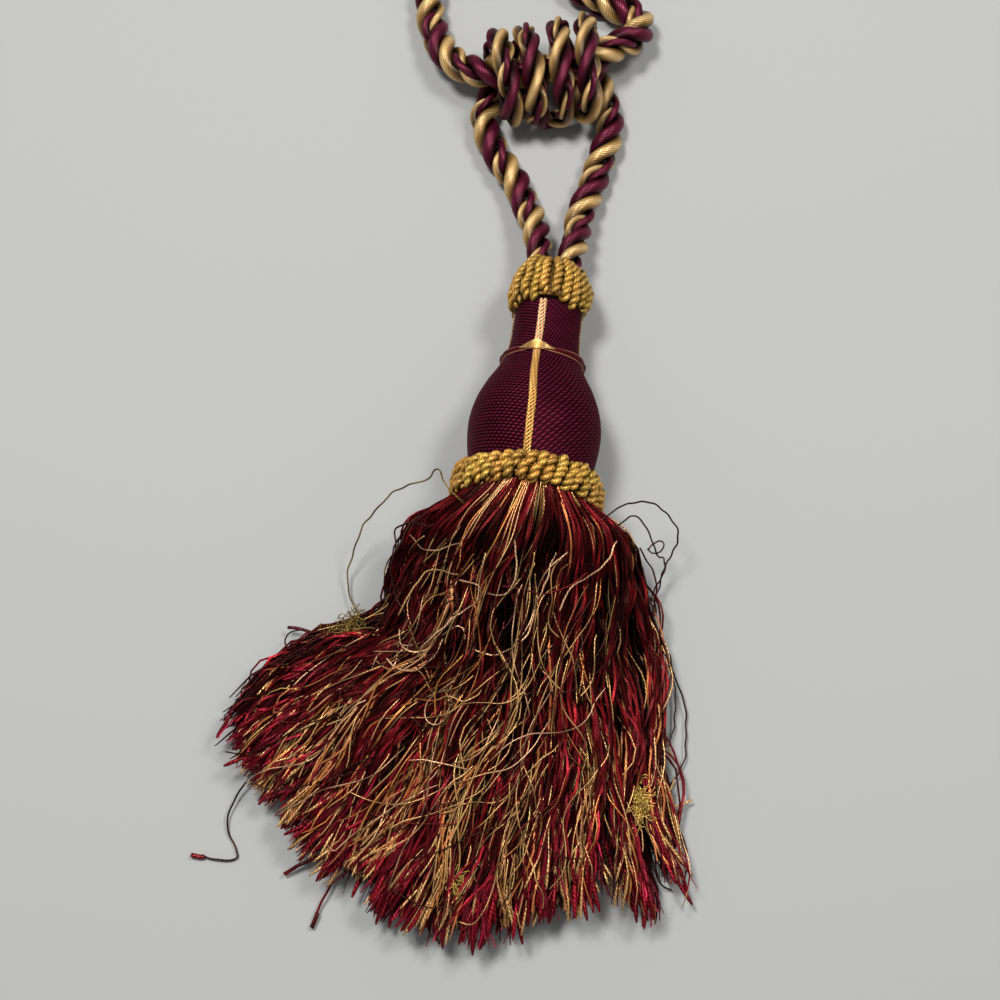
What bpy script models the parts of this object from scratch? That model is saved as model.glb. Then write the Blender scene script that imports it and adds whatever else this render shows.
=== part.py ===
"""Curtain tieback tassel, lying on a table: a wrapped head between two gold ruffs, a thread skirt
spread out on the table, and a three-strand rope hitched round the loop of the tieback rope.

Units are metres, +Z is up and the table is z = 0. The origin is the flat spot on which the lower
ruff rests; the skirt fans out towards -Y and the ropes lie towards +Y.
"""
import math
import random

import bmesh
import bpy
from mathutils import Matrix, Vector

MM = 0.001
GAP = 0.3 * MM                      # clearance between pieces that touch

# ---- the head's axis: it lies on the lower ruff and its belly, so its cord end is the lower one
HEAD_LEAN = math.radians(6.1)       # slope of the axis to the table
HEAD_HEADING = math.radians(6.6)    # the axis turned from +Y towards +X
RUFF_CRUSH = 0.3 * MM               # how far the yarn of the lower ruff is pressed flat

# ---- lower ruff (two rows of looped cord) and the head above it
LOWER_RUFF_RADIUS = 23.5 * MM
LOWER_RUFF_THICK = 9.2 * MM
LOWER_RUFF_RIBS = 40
# along: distance above the ruff's lower face, radius: crest, rib: depth, offset: half a rib on
LOWER_RUFF_ROWS = [
    {"along": 0.0, "radius": 21.9, "rib": 1.0, "offset": 0},
    {"along": 1.6, "radius": 23.3, "rib": 1.6, "offset": 0},
    {"along": 3.2, "radius": 23.5, "rib": 1.7, "offset": 0},
    {"along": 4.7, "radius": 22.3, "rib": 0.6, "offset": 0},
    {"along": 6.3, "radius": 22.7, "rib": 1.6, "offset": 1},
    {"along": 8.0, "radius": 21.6, "rib": 1.5, "offset": 1},
    {"along": 9.2, "radius": 19.2, "rib": 0.8, "offset": 1},
]

# ---- head: along is the distance above the lower ruff's upper face
HEAD_PROFILE = [
    {"along": 0.3, "radius": 17.6},
    {"along": 4.0, "radius": 18.6},
    {"along": 8.0, "radius": 19.3},
    {"along": 12.0, "radius": 19.75},
    {"along": 16.0, "radius": 19.85},
    {"along": 20.0, "radius": 19.3},
    {"along": 24.0, "radius": 18.2},
    {"along": 29.0, "radius": 16.0},
    {"along": 33.6, "radius": 13.3},
    {"along": 37.4, "radius": 11.6},
    {"along": 40.4, "radius": 10.8},
    {"along": 43.5, "radius": 10.1},
    {"along": 49.0, "radius": 9.9},
    {"along": 55.0, "radius": 9.9},
]
HEAD_STEPS = 32

# ---- gold cords down the head, and the thread tied round its neck over them
# a stripe's turn round the neck, and how many degrees it has drifted at the belly
STRIPES = [
    {"name": "stripe_front", "turn": -10.0, "drift": 6.0},
    {"name": "stripe_right", "turn": 106.0, "drift": 4.0},
    {"name": "stripe_back", "turn": 180.0, "drift": -6.0},
    {"name": "stripe_left", "turn": 254.0, "drift": -4.0},
]
STRIPE_WIDTH = 2.6 * MM
STRIPE_HEIGHT = 0.6 * MM
STRIPE_GAP = 0.5 * MM               # its underside is flat, so it stands further off the head
STRIPE_STEP = 4.0 * MM
TIE_LOW = 36.8 * MM                 # the straight lower edge of the tie
TIE_THICK = 0.5 * MM
TIE_GAP = 0.5 * MM                  # between the tie and the stripes, whose slope it crosses
TIE_BAND = 2.0 * MM                 # its height between the stripes
TIE_KNOT = 3.4 * MM                 # its height where it crosses a stripe
TIE_STEPS = 60
KNOT_REACH = 24.0                   # degrees either side of a stripe where the tie starts to climb
KNOT_TOP = 11.0                     # degrees either side of a stripe where it is fully up

# ---- upper ruff, a ribbed dome round the cord ends; along is above its own lower face
UPPER_RUFF_START = 55.3 * MM
UPPER_RUFF_RIBS = 22
UPPER_RUFF_ROWS = [
    {"along": 0.0, "radius": 12.0, "rib": 0.9, "offset": 0},
    {"along": 1.8, "radius": 13.1, "rib": 1.5, "offset": 0},
    {"along": 4.8, "radius": 13.2, "rib": 1.5, "offset": 0},
    {"along": 8.0, "radius": 12.4, "rib": 1.4, "offset": 0},
    {"along": 11.0, "radius": 11.2, "rib": 1.2, "offset": 0},
    {"along": 13.4, "radius": 9.9, "rib": 0.9, "offset": 0},
    {"along": 14.2, "radius": 9.2, "rib": 0.4, "offset": 0},
]

# ---- skirt: triangular locks whose roots share one round backing under the lower ruff
BACKING_RADIUS = 21.2 * MM
BACKING_THICK = 2.0 * MM
BACKING_RINGS = 9
BACKING_TWIST = 3.3                 # degrees that each ring is turned on from the ring inside it
LOCK_STEPS = 5
LOCK_SEED = 7
LOCK_SHORTER = 0.14                 # the most that a lock may fall short of the fan's edge
CLUMPS = 7                          # bunches that the locks draw into towards their tips
CLUMP_PULL = 0.4
# each row crosses the fan from its left edge over its middle to its right edge (x, y); crown is
# its height at the middle, edge its height at the two edges and lift how high the edges hang
SKIRT_ROWS = [
    {"left": (-30.5, -6.0), "middle": (-0.9, -11.0), "right": (30.5, -10.5),
     "crown": 41.0, "edge": 7.0, "lift": 14.0},
    {"left": (-37.5, -15.0), "middle": (-3.9, -25.5), "right": (36.6, -23.0),
     "crown": 37.0, "edge": 8.0, "lift": 5.0},
    {"left": (-45.0, -30.0), "middle": (-7.5, -49.5), "right": (39.6, -41.0),
     "crown": 31.0, "edge": 8.0, "lift": 0.5},
    {"left": (-66.0, -36.5), "middle": (-10.5, -73.0), "right": (42.0, -61.0),
     "crown": 25.0, "edge": 8.0, "lift": 0.0},
    {"left": (-84.0, -52.0), "middle": (-13.3, -99.5), "right": (45.0, -84.5),
     "crown": 20.0, "edge": 7.0, "lift": 0.0},
    {"left": (-97.0, -68.0), "middle": (-16.2, -127.5), "right": (50.5, -114.0),
     "crown": 15.0, "edge": 6.0, "lift": 0.0},
]
# a lock's width and height from its root to its tip
LOCK_SIZES = [
    {"part": 0.0, "width": 1.6, "height": 1.3},
    {"part": 0.2, "width": 1.9, "height": 1.1},
    {"part": 0.4, "width": 2.6, "height": 1.1},
    {"part": 0.6, "width": 3.1, "height": 1.1},
    {"part": 0.9, "width": 2.9, "height": 0.9},
    {"part": 1.0, "width": 1.5, "height": 0.6},
]

# ---- ropes: three strands laid together
ROPE_RADIUS = 5.0 * MM
LOOP_STEPS_PER_LAY = 7
CORD_STEPS_PER_LAY = 8
ROPE_LAY = 20.5 * MM                # length of one turn of the lay
ROPE_SIDES = 9
ROPE_CREST = 1.0                    # a strand's flat crest, and the groove beside it, as shares
ROPE_HOLLOW = 0.66                  # of the rope's radius
TABLE_CLEARANCE = 0.15 * MM          # how far the hitch's wraps clear the table

# ---- hitch: the suspension cord's wraps round the tieback rope
HITCH_CENTRE = Vector((6.8, 143.5, 0.0)) * MM
HITCH_HEADING = math.radians(6.5)   # the tieback rope's direction there, turned from +X
WRAP_RADIUS = 3.9 * MM              # the cord is squeezed where it wraps
WRAP_REACH = 13.6 * MM              # half-axis of a wrap across the rope, at the hitch's middle
WRAP_WIDENING = 0.08                # how much the wraps grow towards the hitch's right end
WRAP_RISE = 9.8 * MM                # half-axis of a wrap above and below the rope
WRAP_STEP = 15.0                    # degrees between points of a wrap
# how far along the rope a wrap is, at each turn angle counted from its bight
WRAP_SHIFT = [
    {"turn": -48.0, "shift": 0.0},
    {"turn": -42.0, "shift": 2.7},
    {"turn": -27.0, "shift": 4.4},
    {"turn": 0.0, "shift": 4.2},
    {"turn": 90.0, "shift": 4.4},
    {"turn": 180.0, "shift": 5.6},
    {"turn": 270.0, "shift": 8.4},
    {"turn": 360.0, "shift": 12.2},
    {"turn": 450.0, "shift": 12.9},
    {"turn": 540.0, "shift": 14.4},
    {"turn": 630.0, "shift": 17.5},
    {"turn": 645.0, "shift": 18.3},
]
BIGHT_RADIUS = 3.1 * MM             # the cord is pinched in the tight turn of its bight
BIGHT_PUSH = 0.32                   # how much further out the bight stands than the wraps

LEG_SPREAD = 4.55 * MM              # each leg's distance from the axis where it meets the ruff
LEG_END_RADIUS = 4.2 * MM
LEG_RADIUS = 4.85 * MM
# the legs between the ruff and the hitch (x, y, z), from the ruff on
LEFT_LEG = [(4.6, 86.0, 12.6), (2.6, 95.0, 8.6), (-1.3, 107.0, 5.4), (-6.8, 116.5, 4.9),
            (-10.9, 124.6, 4.9), (-12.8, 131.5, 4.7)]
RIGHT_LEG = [(15.2, 85.0, 12.8), (16.9, 94.0, 8.7), (20.6, 106.6, 5.4), (24.8, 118.0, 4.9),
             (27.3, 128.5, 4.9), (27.2, 136.0, 4.6)]

# the tieback rope from the right end of the hitch, round its loop, to the left end (x, y, z)
LOOP_ROUTE = [(28.6, 152.6, 13.2), (34.6, 156.2, 11.2), (37.4, 162.4, 8.0), (34.4, 168.0, 5.8),
              (27.2, 171.0, 5.05), (19.6, 175.6, 5.05), (14.2, 183.6, 5.05), (13.4, 195.0, 5.05),
              (16.0, 210.0, 5.05), (21.0, 230.0, 5.05), (26.5, 255.0, 5.05), (30.0, 282.0, 5.05),
              (29.0, 310.0, 5.05), (21.0, 334.0, 5.05), (6.0, 350.0, 5.05), (-13.0, 354.0, 5.05),
              (-30.0, 345.0, 5.05), (-41.0, 326.0, 5.05), (-45.0, 301.0, 5.05), (-44.0, 273.0, 5.05),
              (-40.5, 245.0, 5.05), (-36.0, 218.0, 5.05), (-32.0, 193.0, 5.05), (-30.2, 174.0, 5.1),
              (-29.0, 162.0, 6.0), (-24.6, 152.0, 8.8), (-18.4, 145.8, 11.8)]
# where the tieback rope lies inside the hitch (along it, and away from the head)
INSIDE_RIGHT = [(0.3, 0.8), (8.0, 1.6), (16.0, 2.7)]
INSIDE_LEFT = [(-16.0, 1.4), (-8.0, 0.6), (-0.3, 0.8)]

COLOURS = {
    "gold": (0.58, 0.33, 0.08, 1.0),
    "burgundy": (0.09, 0.006, 0.024, 1.0),
    "mixed": (0.23, 0.06, 0.035, 1.0),
}


# ---------------------------------------------------------------- helpers
def clear_scene():
    """Empty the file and return the tassel's own collection."""
    for item in list(bpy.data.objects):
        bpy.data.objects.remove(item, do_unlink=True)
    home = bpy.data.collections.new("curtain_tieback_tassel")
    bpy.context.scene.collection.children.link(home)
    return home


def yarn_material(name, colour, roughness):
    """A satin yarn's plain finish."""
    material = bpy.data.materials.new(name)
    material.use_nodes = True
    shader = material.node_tree.nodes["Principled BSDF"]
    shader.inputs["Base Color"].default_value = COLOURS[colour]
    shader.inputs["Roughness"].default_value = roughness
    shader.inputs["Metallic"].default_value = 0.0
    return material


def add_mesh(home, name, mesh, colour, roughness=0.45):
    """Put a finished mesh in the collection under its node's name."""
    piece = bpy.data.objects.new(name, mesh)
    piece.data.materials.append(yarn_material(name + "_yarn", colour, roughness))
    home.objects.link(piece)
    return piece


def mesh_from(name, points, faces):
    """A mesh of the given points and faces, with all faces turned outwards."""
    mesh = bpy.data.meshes.new(name)
    mesh.from_pydata([tuple(point) for point in points], [], faces)
    shape = bmesh.new()
    shape.from_mesh(mesh)
    bmesh.ops.recalc_face_normals(shape, faces=shape.faces)
    shape.to_mesh(mesh)
    shape.free()
    return mesh


def table_value(rows, key, column, where):
    """Read a column of a table, in proportion between two of its rows."""
    if where <= rows[0][key]:
        return rows[0][column]
    for low, high in zip(rows, rows[1:]):
        if where <= high[key]:
            share = (where - low[key]) / (high[key] - low[key])
            return low[column] + (high[column] - low[column]) * share
    return rows[-1][column]


def spline_value(before, start, end, after, share):
    """A Catmull-Rom step between start and end."""
    square, cube = share * share, share ** 3
    return 0.5 * ((2.0 * start) + (end - before) * share
                  + (2.0 * before - 5.0 * start + 4.0 * end - after) * square
                  + (3.0 * start - before - 3.0 * end + after) * cube)


def smooth_route(points, spacing):
    """Points about a spacing apart on a smooth curve through the route's own points."""
    ends = [points[0] * 2.0 - points[1]] + points + [points[-1] * 2.0 - points[-2]]
    fine = []
    for before, start, end, after in zip(ends, ends[1:], ends[2:], ends[3:]):
        fine += [spline_value(before, start, end, after, step / 12.0) for step in range(12)]
    fine.append(points[-1])
    lengths = [0.0]
    for start, end in zip(fine, fine[1:]):
        lengths.append(lengths[-1] + (end - start).length)
    count = max(2, round(lengths[-1] / spacing))
    route, index = [], 0
    for step in range(count + 1):
        target = lengths[-1] * step / count
        while index < len(fine) - 2 and lengths[index + 1] < target:
            index += 1
        span = max(lengths[index + 1] - lengths[index], 1e-9)
        route.append(fine[index].lerp(fine[index + 1], (target - lengths[index]) / span))
    return route


def loft(rings, closed_ends=True):
    """Points and faces of a tube through equal rings of points."""
    sides = len(rings[0])
    points = [point for ring in rings for point in ring]
    faces = []
    for row in range(len(rings) - 1):
        for side in range(sides):
            here, there = row * sides, (row + 1) * sides
            step = (side + 1) % sides
            faces.append((here + side, here + step, there + step, there + side))
    if closed_ends:
        faces.append(tuple(range(sides)))
        faces.append(tuple(range(len(points) - sides, len(points))))
    return points, faces


# ---------------------------------------------------------------- the head's own frame
AXIS = Vector((math.cos(HEAD_LEAN) * math.sin(HEAD_HEADING),
               math.cos(HEAD_LEAN) * math.cos(HEAD_HEADING),
               -math.sin(HEAD_LEAN)))
SIDE = Vector((math.cos(HEAD_HEADING), -math.sin(HEAD_HEADING), 0.0))
FRONT = SIDE.cross(AXIS)            # square to the axis, on the side that faces up
RUFF_HEIGHT = LOWER_RUFF_RADIUS * math.cos(HEAD_LEAN) - RUFF_CRUSH
RUFF_CREST = 3.2 * MM               # where the lower ruff is widest, above its lower face
REST_SHIFT = LOWER_RUFF_RADIUS * math.sin(HEAD_LEAN)
# the middle of the lower ruff's widest ring: straight above the origin but for the axis's slope
CREST_CENTRE = Vector((REST_SHIFT * math.sin(HEAD_HEADING), REST_SHIFT * math.cos(HEAD_HEADING),
                       RUFF_HEIGHT))
HEAD_BASE = CREST_CENTRE + AXIS * (LOWER_RUFF_THICK - RUFF_CREST)


def on_axis(along):
    """The point of the axis that is this far above the lower ruff's upper face."""
    return HEAD_BASE + AXIS * along


def around_axis(along, radius, degrees):
    """A point round the axis, with 0 degrees at the front and 90 on the right."""
    turn = math.radians(degrees)
    return on_axis(along) + (FRONT * math.cos(turn) + SIDE * math.sin(turn)) * radius


def head_radius(along):
    """The head's radius at a distance above the lower ruff."""
    return table_value(HEAD_PROFILE, "along", "radius", along / MM) * MM


# ---------------------------------------------------------------- pieces of the head
def add_head(home):
    """The wrapped head: its profile turned about the axis."""
    rows = sorted(HEAD_PROFILE, key=lambda row: -row["along"])
    profile = [Vector((row["radius"] * MM, 0.0, row["along"] * MM)) for row in rows]
    profile.insert(0, Vector((0.0, 0.0, profile[0].z)))
    profile.append(Vector((0.0, 0.0, profile[-1].z)))
    mesh = bpy.data.meshes.new("head")
    mesh.from_pydata(profile, [(at, at + 1) for at in range(len(profile) - 1)], [])
    head = add_mesh(home, "head", mesh, "burgundy", 0.7)
    turned = Matrix((SIDE, -FRONT, AXIS)).transposed().to_4x4()
    head.matrix_world = Matrix.Translation(HEAD_BASE) @ turned
    screw = head.modifiers.new("turned", "SCREW")
    screw.angle = 2.0 * math.pi
    screw.steps = HEAD_STEPS
    screw.render_steps = HEAD_STEPS
    screw.use_merge_vertices = True
    screw.merge_threshold = 0.00001
    return head


def stripe_turn(stripe, along):
    """A stripe's place round the head: it drifts a little between neck and belly."""
    share = min(1.0, max(0.0, (40.0 * MM - along) / (22.0 * MM)))
    return stripe["turn"] + stripe["drift"] * share


def add_stripe(home, stripe):
    """One gold cord laid down the head from the upper to the lower ruff."""
    first, last = 0.6 * MM, UPPER_RUFF_START - GAP
    count = round((last - first) / STRIPE_STEP)
    section = [(-0.5, 0.0), (-0.36, 0.7), (0.0, 1.0), (0.36, 0.7), (0.5, 0.0)]
    rings = []
    for step in range(count + 1):
        along = first + (last - first) * step / count
        radius = head_radius(along) + STRIPE_GAP
        ring = []
        for across, up in section:
            turn = stripe_turn(stripe, along) + math.degrees(across * STRIPE_WIDTH / radius)
            ring.append(around_axis(along, radius + up * STRIPE_HEIGHT, turn))
        rings.append(ring)
    return add_mesh(home, stripe["name"], mesh_from(stripe["name"], *loft(rings)), "gold")


def knot_share(degrees):
    """How far the neck tie has climbed on to the nearest stripe, from 0 to 1."""
    away = min(abs((degrees - stripe_turn(stripe, TIE_LOW) + 180.0) % 360.0 - 180.0)
               for stripe in STRIPES)
    share = min(1.0, max(0.0, (KNOT_REACH - away) / (KNOT_REACH - KNOT_TOP)))
    return share * share * (3.0 - 2.0 * share)


def add_neck_tie(home):
    """Gold thread bound round the neck, humped and wider where it crosses the stripes."""
    climbed = STRIPE_HEIGHT + STRIPE_GAP + TIE_GAP - GAP
    rings = []
    for step in range(TIE_STEPS):
        turn = 360.0 * step / TIE_STEPS
        climb = knot_share(turn)
        inner = head_radius(TIE_LOW) + GAP + climbed * climb
        high = TIE_LOW + TIE_BAND + (TIE_KNOT - TIE_BAND) * climb
        outer = inner + TIE_THICK
        rings.append([around_axis(TIE_LOW, inner, turn), around_axis(TIE_LOW, outer - 0.3 * MM, turn),
                      around_axis((TIE_LOW + high) / 2.0, outer, turn),
                      around_axis(high, outer - 0.3 * MM, turn), around_axis(high, inner, turn)])
    points, faces = loft(rings + [rings[0]], closed_ends=False)
    sides = len(rings[0])
    wrap = len(rings) * sides
    faces = [tuple(at % wrap for at in face) for face in faces]
    return add_mesh(home, "neck_tie", mesh_from("neck_tie", points[:wrap], faces), "gold")


def add_ruff(home, name, start, rows, ribs):
    """A ruff of ribs round the axis, pressed flat where it lies on the table."""
    rings = []
    for row in rows:
        ring = []
        for step in range(2 * ribs):
            turn = 360.0 * step / (2 * ribs)
            below = abs(turn - 180.0)
            soft = min(1.0, max(0.0, (below - 14.0) / 14.0))
            groove = (step + row["offset"]) % 2
            radius = row["radius"] - row["rib"] * groove * soft
            ring.append(around_axis(start + row["along"] * MM, radius * MM, turn))
        rings.append(ring)
    mesh = mesh_from(name, *loft(rings))
    shape = bmesh.new()
    shape.from_mesh(mesh)
    cut = bmesh.ops.bisect_plane(shape, geom=shape.verts[:] + shape.edges[:] + shape.faces[:],
                                 plane_co=(0, 0, 0), plane_no=(0, 0, -1), clear_outer=True)
    rim = [item for item in cut["geom_cut"] if isinstance(item, bmesh.types.BMEdge)]
    bmesh.ops.holes_fill(shape, edges=rim, sides=0)
    bmesh.ops.recalc_face_normals(shape, faces=shape.faces)
    shape.to_mesh(mesh)
    shape.free()
    return add_mesh(home, name, mesh, "gold")


# ---------------------------------------------------------------- skirt
def across_row(row, across):
    """The point of a skirt row at -1 (left edge) to 1 (right edge)."""
    left, middle, right = (Vector(row[key]) for key in ("left", "middle", "right"))
    return (left * (across * (across - 1.0) / 2.0) + middle * (1.0 - across * across)
            + right * (across * (across + 1.0) / 2.0))


def lock_route(root, across, level):
    """The points that one lock passes, a point for its root and one for each row."""
    arch = math.sqrt(max(0.0, 1.0 - across * across))
    points = [root + AXIS * 9.0 * MM, root]
    for index, row in enumerate(SKIRT_ROWS):
        pull = CLUMP_PULL * (index + 1) / len(SKIRT_ROWS) / (2.0 * math.pi * CLUMPS)
        place = across_row(row, across + pull * math.sin(2.0 * math.pi * CLUMPS * across))
        low = row["lift"] * (1.0 - arch)
        high = row["lift"] + row["edge"] + (row["crown"] - row["lift"] - row["edge"]) * arch
        points.append(Vector((place.x, place.y, low + (high - low) * level)) * MM)
    points.append(points[-1] * 2.0 - points[-2])
    return points


def along_route(points, where):
    """A point on a lock's route, counted in rows from its root."""
    index = min(int(where), len(points) - 4)
    before, start, end, after = points[index:index + 4]
    return spline_value(before, start, end, after, where - index)


def lock_section(route, where, part):
    """The three corners of a lock: left, right and crest."""
    here = along_route(route, where)
    ahead = along_route(route, where + 0.05) - along_route(route, where - 0.05)
    side = Vector((-ahead.y, ahead.x, 0.0)).normalized()
    width = table_value(LOCK_SIZES, "part", "width", part) * MM
    height = table_value(LOCK_SIZES, "part", "height", part) * MM
    here.z = max(here.z, 0.0)
    return [here - side * width / 2.0, here + side * width / 2.0, here + Vector((0, 0, height))]


def best_turn(root, section):
    """The root's corners in the order that twists a lock least."""
    orders = [root[turn:] + root[:turn] for turn in range(3)]
    middle = sum(root, Vector()) / 3.0
    centre = sum(section, Vector()) / 3.0

    def misfit(order):
        return sum(((corner - middle).normalized() - (end - centre).normalized()).length
                   for corner, end in zip(order, section))
    return min(orders, key=misfit)


def backing_ring(along, ring):
    """The backing's points on one of its rings."""
    if ring == 0:
        return [on_axis(along)]
    radius = BACKING_RADIUS * ring / BACKING_RINGS
    start = BACKING_TWIST * ring
    return [around_axis(along, radius, start + 60.0 * step / ring) for step in range(6 * ring)]


def backing_faces():
    """Triangles between the backing's rings: plain ones, and ones that a lock grows from.

    Each root comes with its lock's place in the bundle: turn in degrees and share of the radius.
    """
    starts = [0]
    for ring in range(BACKING_RINGS):
        starts.append(starts[-1] + max(1, 6 * ring))
    plain, roots = [], []
    for ring in range(1, BACKING_RINGS + 1):
        inner = max(1, 6 * (ring - 1))
        for sector in range(6):
            for step in range(ring):
                here = starts[ring] + sector * ring + step
                there = starts[ring] + (sector * ring + step + 1) % (6 * ring)
                below = starts[ring - 1] + (sector * (ring - 1) + step) % inner
                plain.append((here, there, below))
                if step < ring - 1:
                    beside = starts[ring - 1] + (sector * (ring - 1) + step + 1) % inner
                    turn = 60.0 * sector + 60.0 * (step + 0.5) / (ring - 1) + BACKING_TWIST * ring
                    share = (ring - 2.0 / 3.0) / (BACKING_RINGS - 2.0 / 3.0)
                    roots.append(((below, there, beside), turn, share))
    return plain, roots


def add_skirt(home):
    """The backing under the lower ruff, with every lock of the skirt grown out of it."""
    chance = random.Random(LOCK_SEED)
    top = -LOWER_RUFF_THICK - GAP
    face_along = top - BACKING_THICK
    points = [point for ring in range(BACKING_RINGS + 1) for point in backing_ring(face_along, ring)]
    faces, roots = backing_faces()
    rim_count = 6 * BACKING_RINGS
    rim = len(points) - rim_count
    upper = len(points)
    rim_turns = [BACKING_TWIST * BACKING_RINGS + 360.0 * step / rim_count for step in range(rim_count)]
    points += [around_axis(top, BACKING_RADIUS, turn) for turn in rim_turns]
    faces += [(rim + step, upper + step, upper + (step + 1) % rim_count, rim + (step + 1) % rim_count)
              for step in range(rim_count)]
    faces.append(tuple(range(upper, upper + rim_count)))
    for corners, turn, share in roots:
        root = sum((points[at] for at in corners), Vector()) / 3.0
        aside = share * math.sin(math.radians(turn))
        raised = share * math.cos(math.radians(turn))
        chord = math.sqrt(1.0 - aside * aside)
        across = math.asin(aside) / (math.pi / 2.0)
        route = lock_route(root, across, (raised / chord + 1.0) / 2.0)
        length = len(SKIRT_ROWS) * (1.0 - chance.random() * LOCK_SHORTER)
        last = list(corners)
        for step in range(1, LOCK_STEPS + 1):
            part = step / LOCK_STEPS
            section = lock_section(route, length * part, part)
            if step == 1:
                last = best_turn([points[at] for at in corners], section)
                last = [corners[[points[at] for at in corners].index(corner)] for corner in last]
            new = list(range(len(points), len(points) + 3))
            points += section
            for side in range(3):
                other = (side + 1) % 3
                faces.append((last[side], last[other], new[other], new[side]))
            last = new
        faces.append(tuple(last))
    return add_mesh(home, "skirt", mesh_from("skirt", points, faces), "mixed", 0.4)


# ---------------------------------------------------------------- ropes
def rope_mesh(name, route, radius_at, steps_per_lay):
    """A three-strand rope: a lobed section turned along a route with even spacing."""
    rings = []
    normal = Vector((0.0, 0.0, 1.0))
    count = len(route) - 1
    for index, point in enumerate(route):
        ahead = (route[min(index + 1, count)] - route[max(index - 1, 0)]).normalized()
        normal = (normal - ahead * normal.dot(ahead)).normalized()
        beside = ahead.cross(normal)
        twist = 2.0 * math.pi * index / steps_per_lay
        ring = []
        for side in range(ROPE_SIDES):
            turn = twist + 2.0 * math.pi * side / ROPE_SIDES
            share = ROPE_HOLLOW if side % 3 == 0 else ROPE_CREST
            outward = normal * math.cos(turn) + beside * math.sin(turn)
            ring.append(point + outward * radius_at(index / count) * share)
        rings.append(ring)
    return mesh_from(name, *loft(rings))


def hitch_point(turn, shift):
    """A point of a wrap round the tieback rope: 0 degrees faces the head, 90 is on top."""
    along = Vector((math.cos(HITCH_HEADING), math.sin(HITCH_HEADING), 0.0))
    away = Vector((-math.sin(HITCH_HEADING), math.cos(HITCH_HEADING), 0.0))
    angle = math.radians(turn)
    push = 1.0 + BIGHT_PUSH * (min(turn, 0.0) / WRAP_SHIFT[0]["turn"]) ** 2
    centre = HITCH_CENTRE + Vector((0.0, 0.0, WRAP_RISE + WRAP_RADIUS + TABLE_CLEARANCE))
    reach = WRAP_REACH + WRAP_WIDENING * shift
    return (centre + along * shift - away * (reach * math.cos(angle) * push)
            + Vector((0.0, 0.0, WRAP_RISE * math.sin(angle) * push)))


def half_hitch(sign):
    """The wraps on one side of the bight, from the bight out to the leg."""
    first, last = WRAP_SHIFT[0]["turn"], WRAP_SHIFT[-1]["turn"]
    count = round((last - first) / WRAP_STEP)
    turns = [first + (last - first) * step / count for step in range(count + 1)]
    return [hitch_point(turn, sign * table_value(WRAP_SHIFT, "turn", "shift", turn) * MM)
            for turn in turns]


def suspension_route():
    """The cord from the left of the ruff's top, through the hitch, back to its right."""
    top = UPPER_RUFF_START + UPPER_RUFF_ROWS[-1]["along"] * MM + 2.0 * GAP
    left_end = on_axis(top) - SIDE * LEG_SPREAD
    right_end = on_axis(top) + SIDE * LEG_SPREAD
    left = [left_end, left_end + AXIS * 3.0 * MM] + [Vector(point) * MM for point in LEFT_LEG]
    right = [right_end, right_end + AXIS * 3.0 * MM] + [Vector(point) * MM for point in RIGHT_LEG]
    left_wraps = half_hitch(-1.0)
    right_wraps = half_hitch(1.0)
    return left + left_wraps[::-1] + right_wraps[1:] + right[::-1]


def add_suspension_cord(home):
    """The cord that carries the tassel: two legs and four wraps."""
    route = smooth_route(suspension_route(), ROPE_LAY / CORD_STEPS_PER_LAY)

    def radius_at(share):
        end = min(share, 1.0 - share)
        if end < 0.05:
            return LEG_END_RADIUS + (LEG_RADIUS - LEG_END_RADIUS) * end / 0.05
        if end > 0.465:
            return WRAP_RADIUS + (BIGHT_RADIUS - WRAP_RADIUS) * min(1.0, (end - 0.465) / 0.015)
        return LEG_RADIUS + (WRAP_RADIUS - LEG_RADIUS) * min(1.0, max(0.0, (end - 0.12) / 0.05))
    mesh = rope_mesh("suspension_cord", route, radius_at, CORD_STEPS_PER_LAY)
    return add_mesh(home, "suspension_cord", mesh, "gold")


def inside_hitch(reach, aside):
    """A point of the tieback rope inside the hitch, from its middle."""
    along = Vector((math.cos(HITCH_HEADING), math.sin(HITCH_HEADING), 0.0))
    away = Vector((-math.sin(HITCH_HEADING), math.cos(HITCH_HEADING), 0.0))
    height = Vector((0.0, 0.0, WRAP_RISE + WRAP_RADIUS + TABLE_CLEARANCE))
    return HITCH_CENTRE + height + (along * reach + away * aside) * MM


def add_tieback_rope(home):
    """The rope that goes round the curtain, laid out as one long loop from inside the hitch."""
    points = [inside_hitch(*place) for place in INSIDE_RIGHT]
    points += [Vector(point) * MM for point in LOOP_ROUTE]
    points += [inside_hitch(*place) for place in INSIDE_LEFT]
    route = smooth_route(points, ROPE_LAY / LOOP_STEPS_PER_LAY)
    mesh = rope_mesh("tieback_rope", route, lambda share: ROPE_RADIUS, LOOP_STEPS_PER_LAY)
    return add_mesh(home, "tieback_rope", mesh, "gold")


def main():
    home = clear_scene()
    add_head(home)
    for stripe in STRIPES:
        add_stripe(home, stripe)
    add_neck_tie(home)
    add_ruff(home, "upper_ruff", UPPER_RUFF_START, UPPER_RUFF_ROWS, UPPER_RUFF_RIBS)
    add_ruff(home, "lower_ruff", -LOWER_RUFF_THICK, LOWER_RUFF_ROWS, LOWER_RUFF_RIBS)
    add_skirt(home)
    add_suspension_cord(home)
    add_tieback_rope(home)


main()
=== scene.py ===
"""Looks of the curtain tieback tassel: laid ropes, wound head, looped ruffs and a loose thread skirt.

Metres, +Z up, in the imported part's own frame. Everything is drawn as yarn: tubes along smooth lines,
joined into one mesh for each piece.
"""

import math

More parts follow.
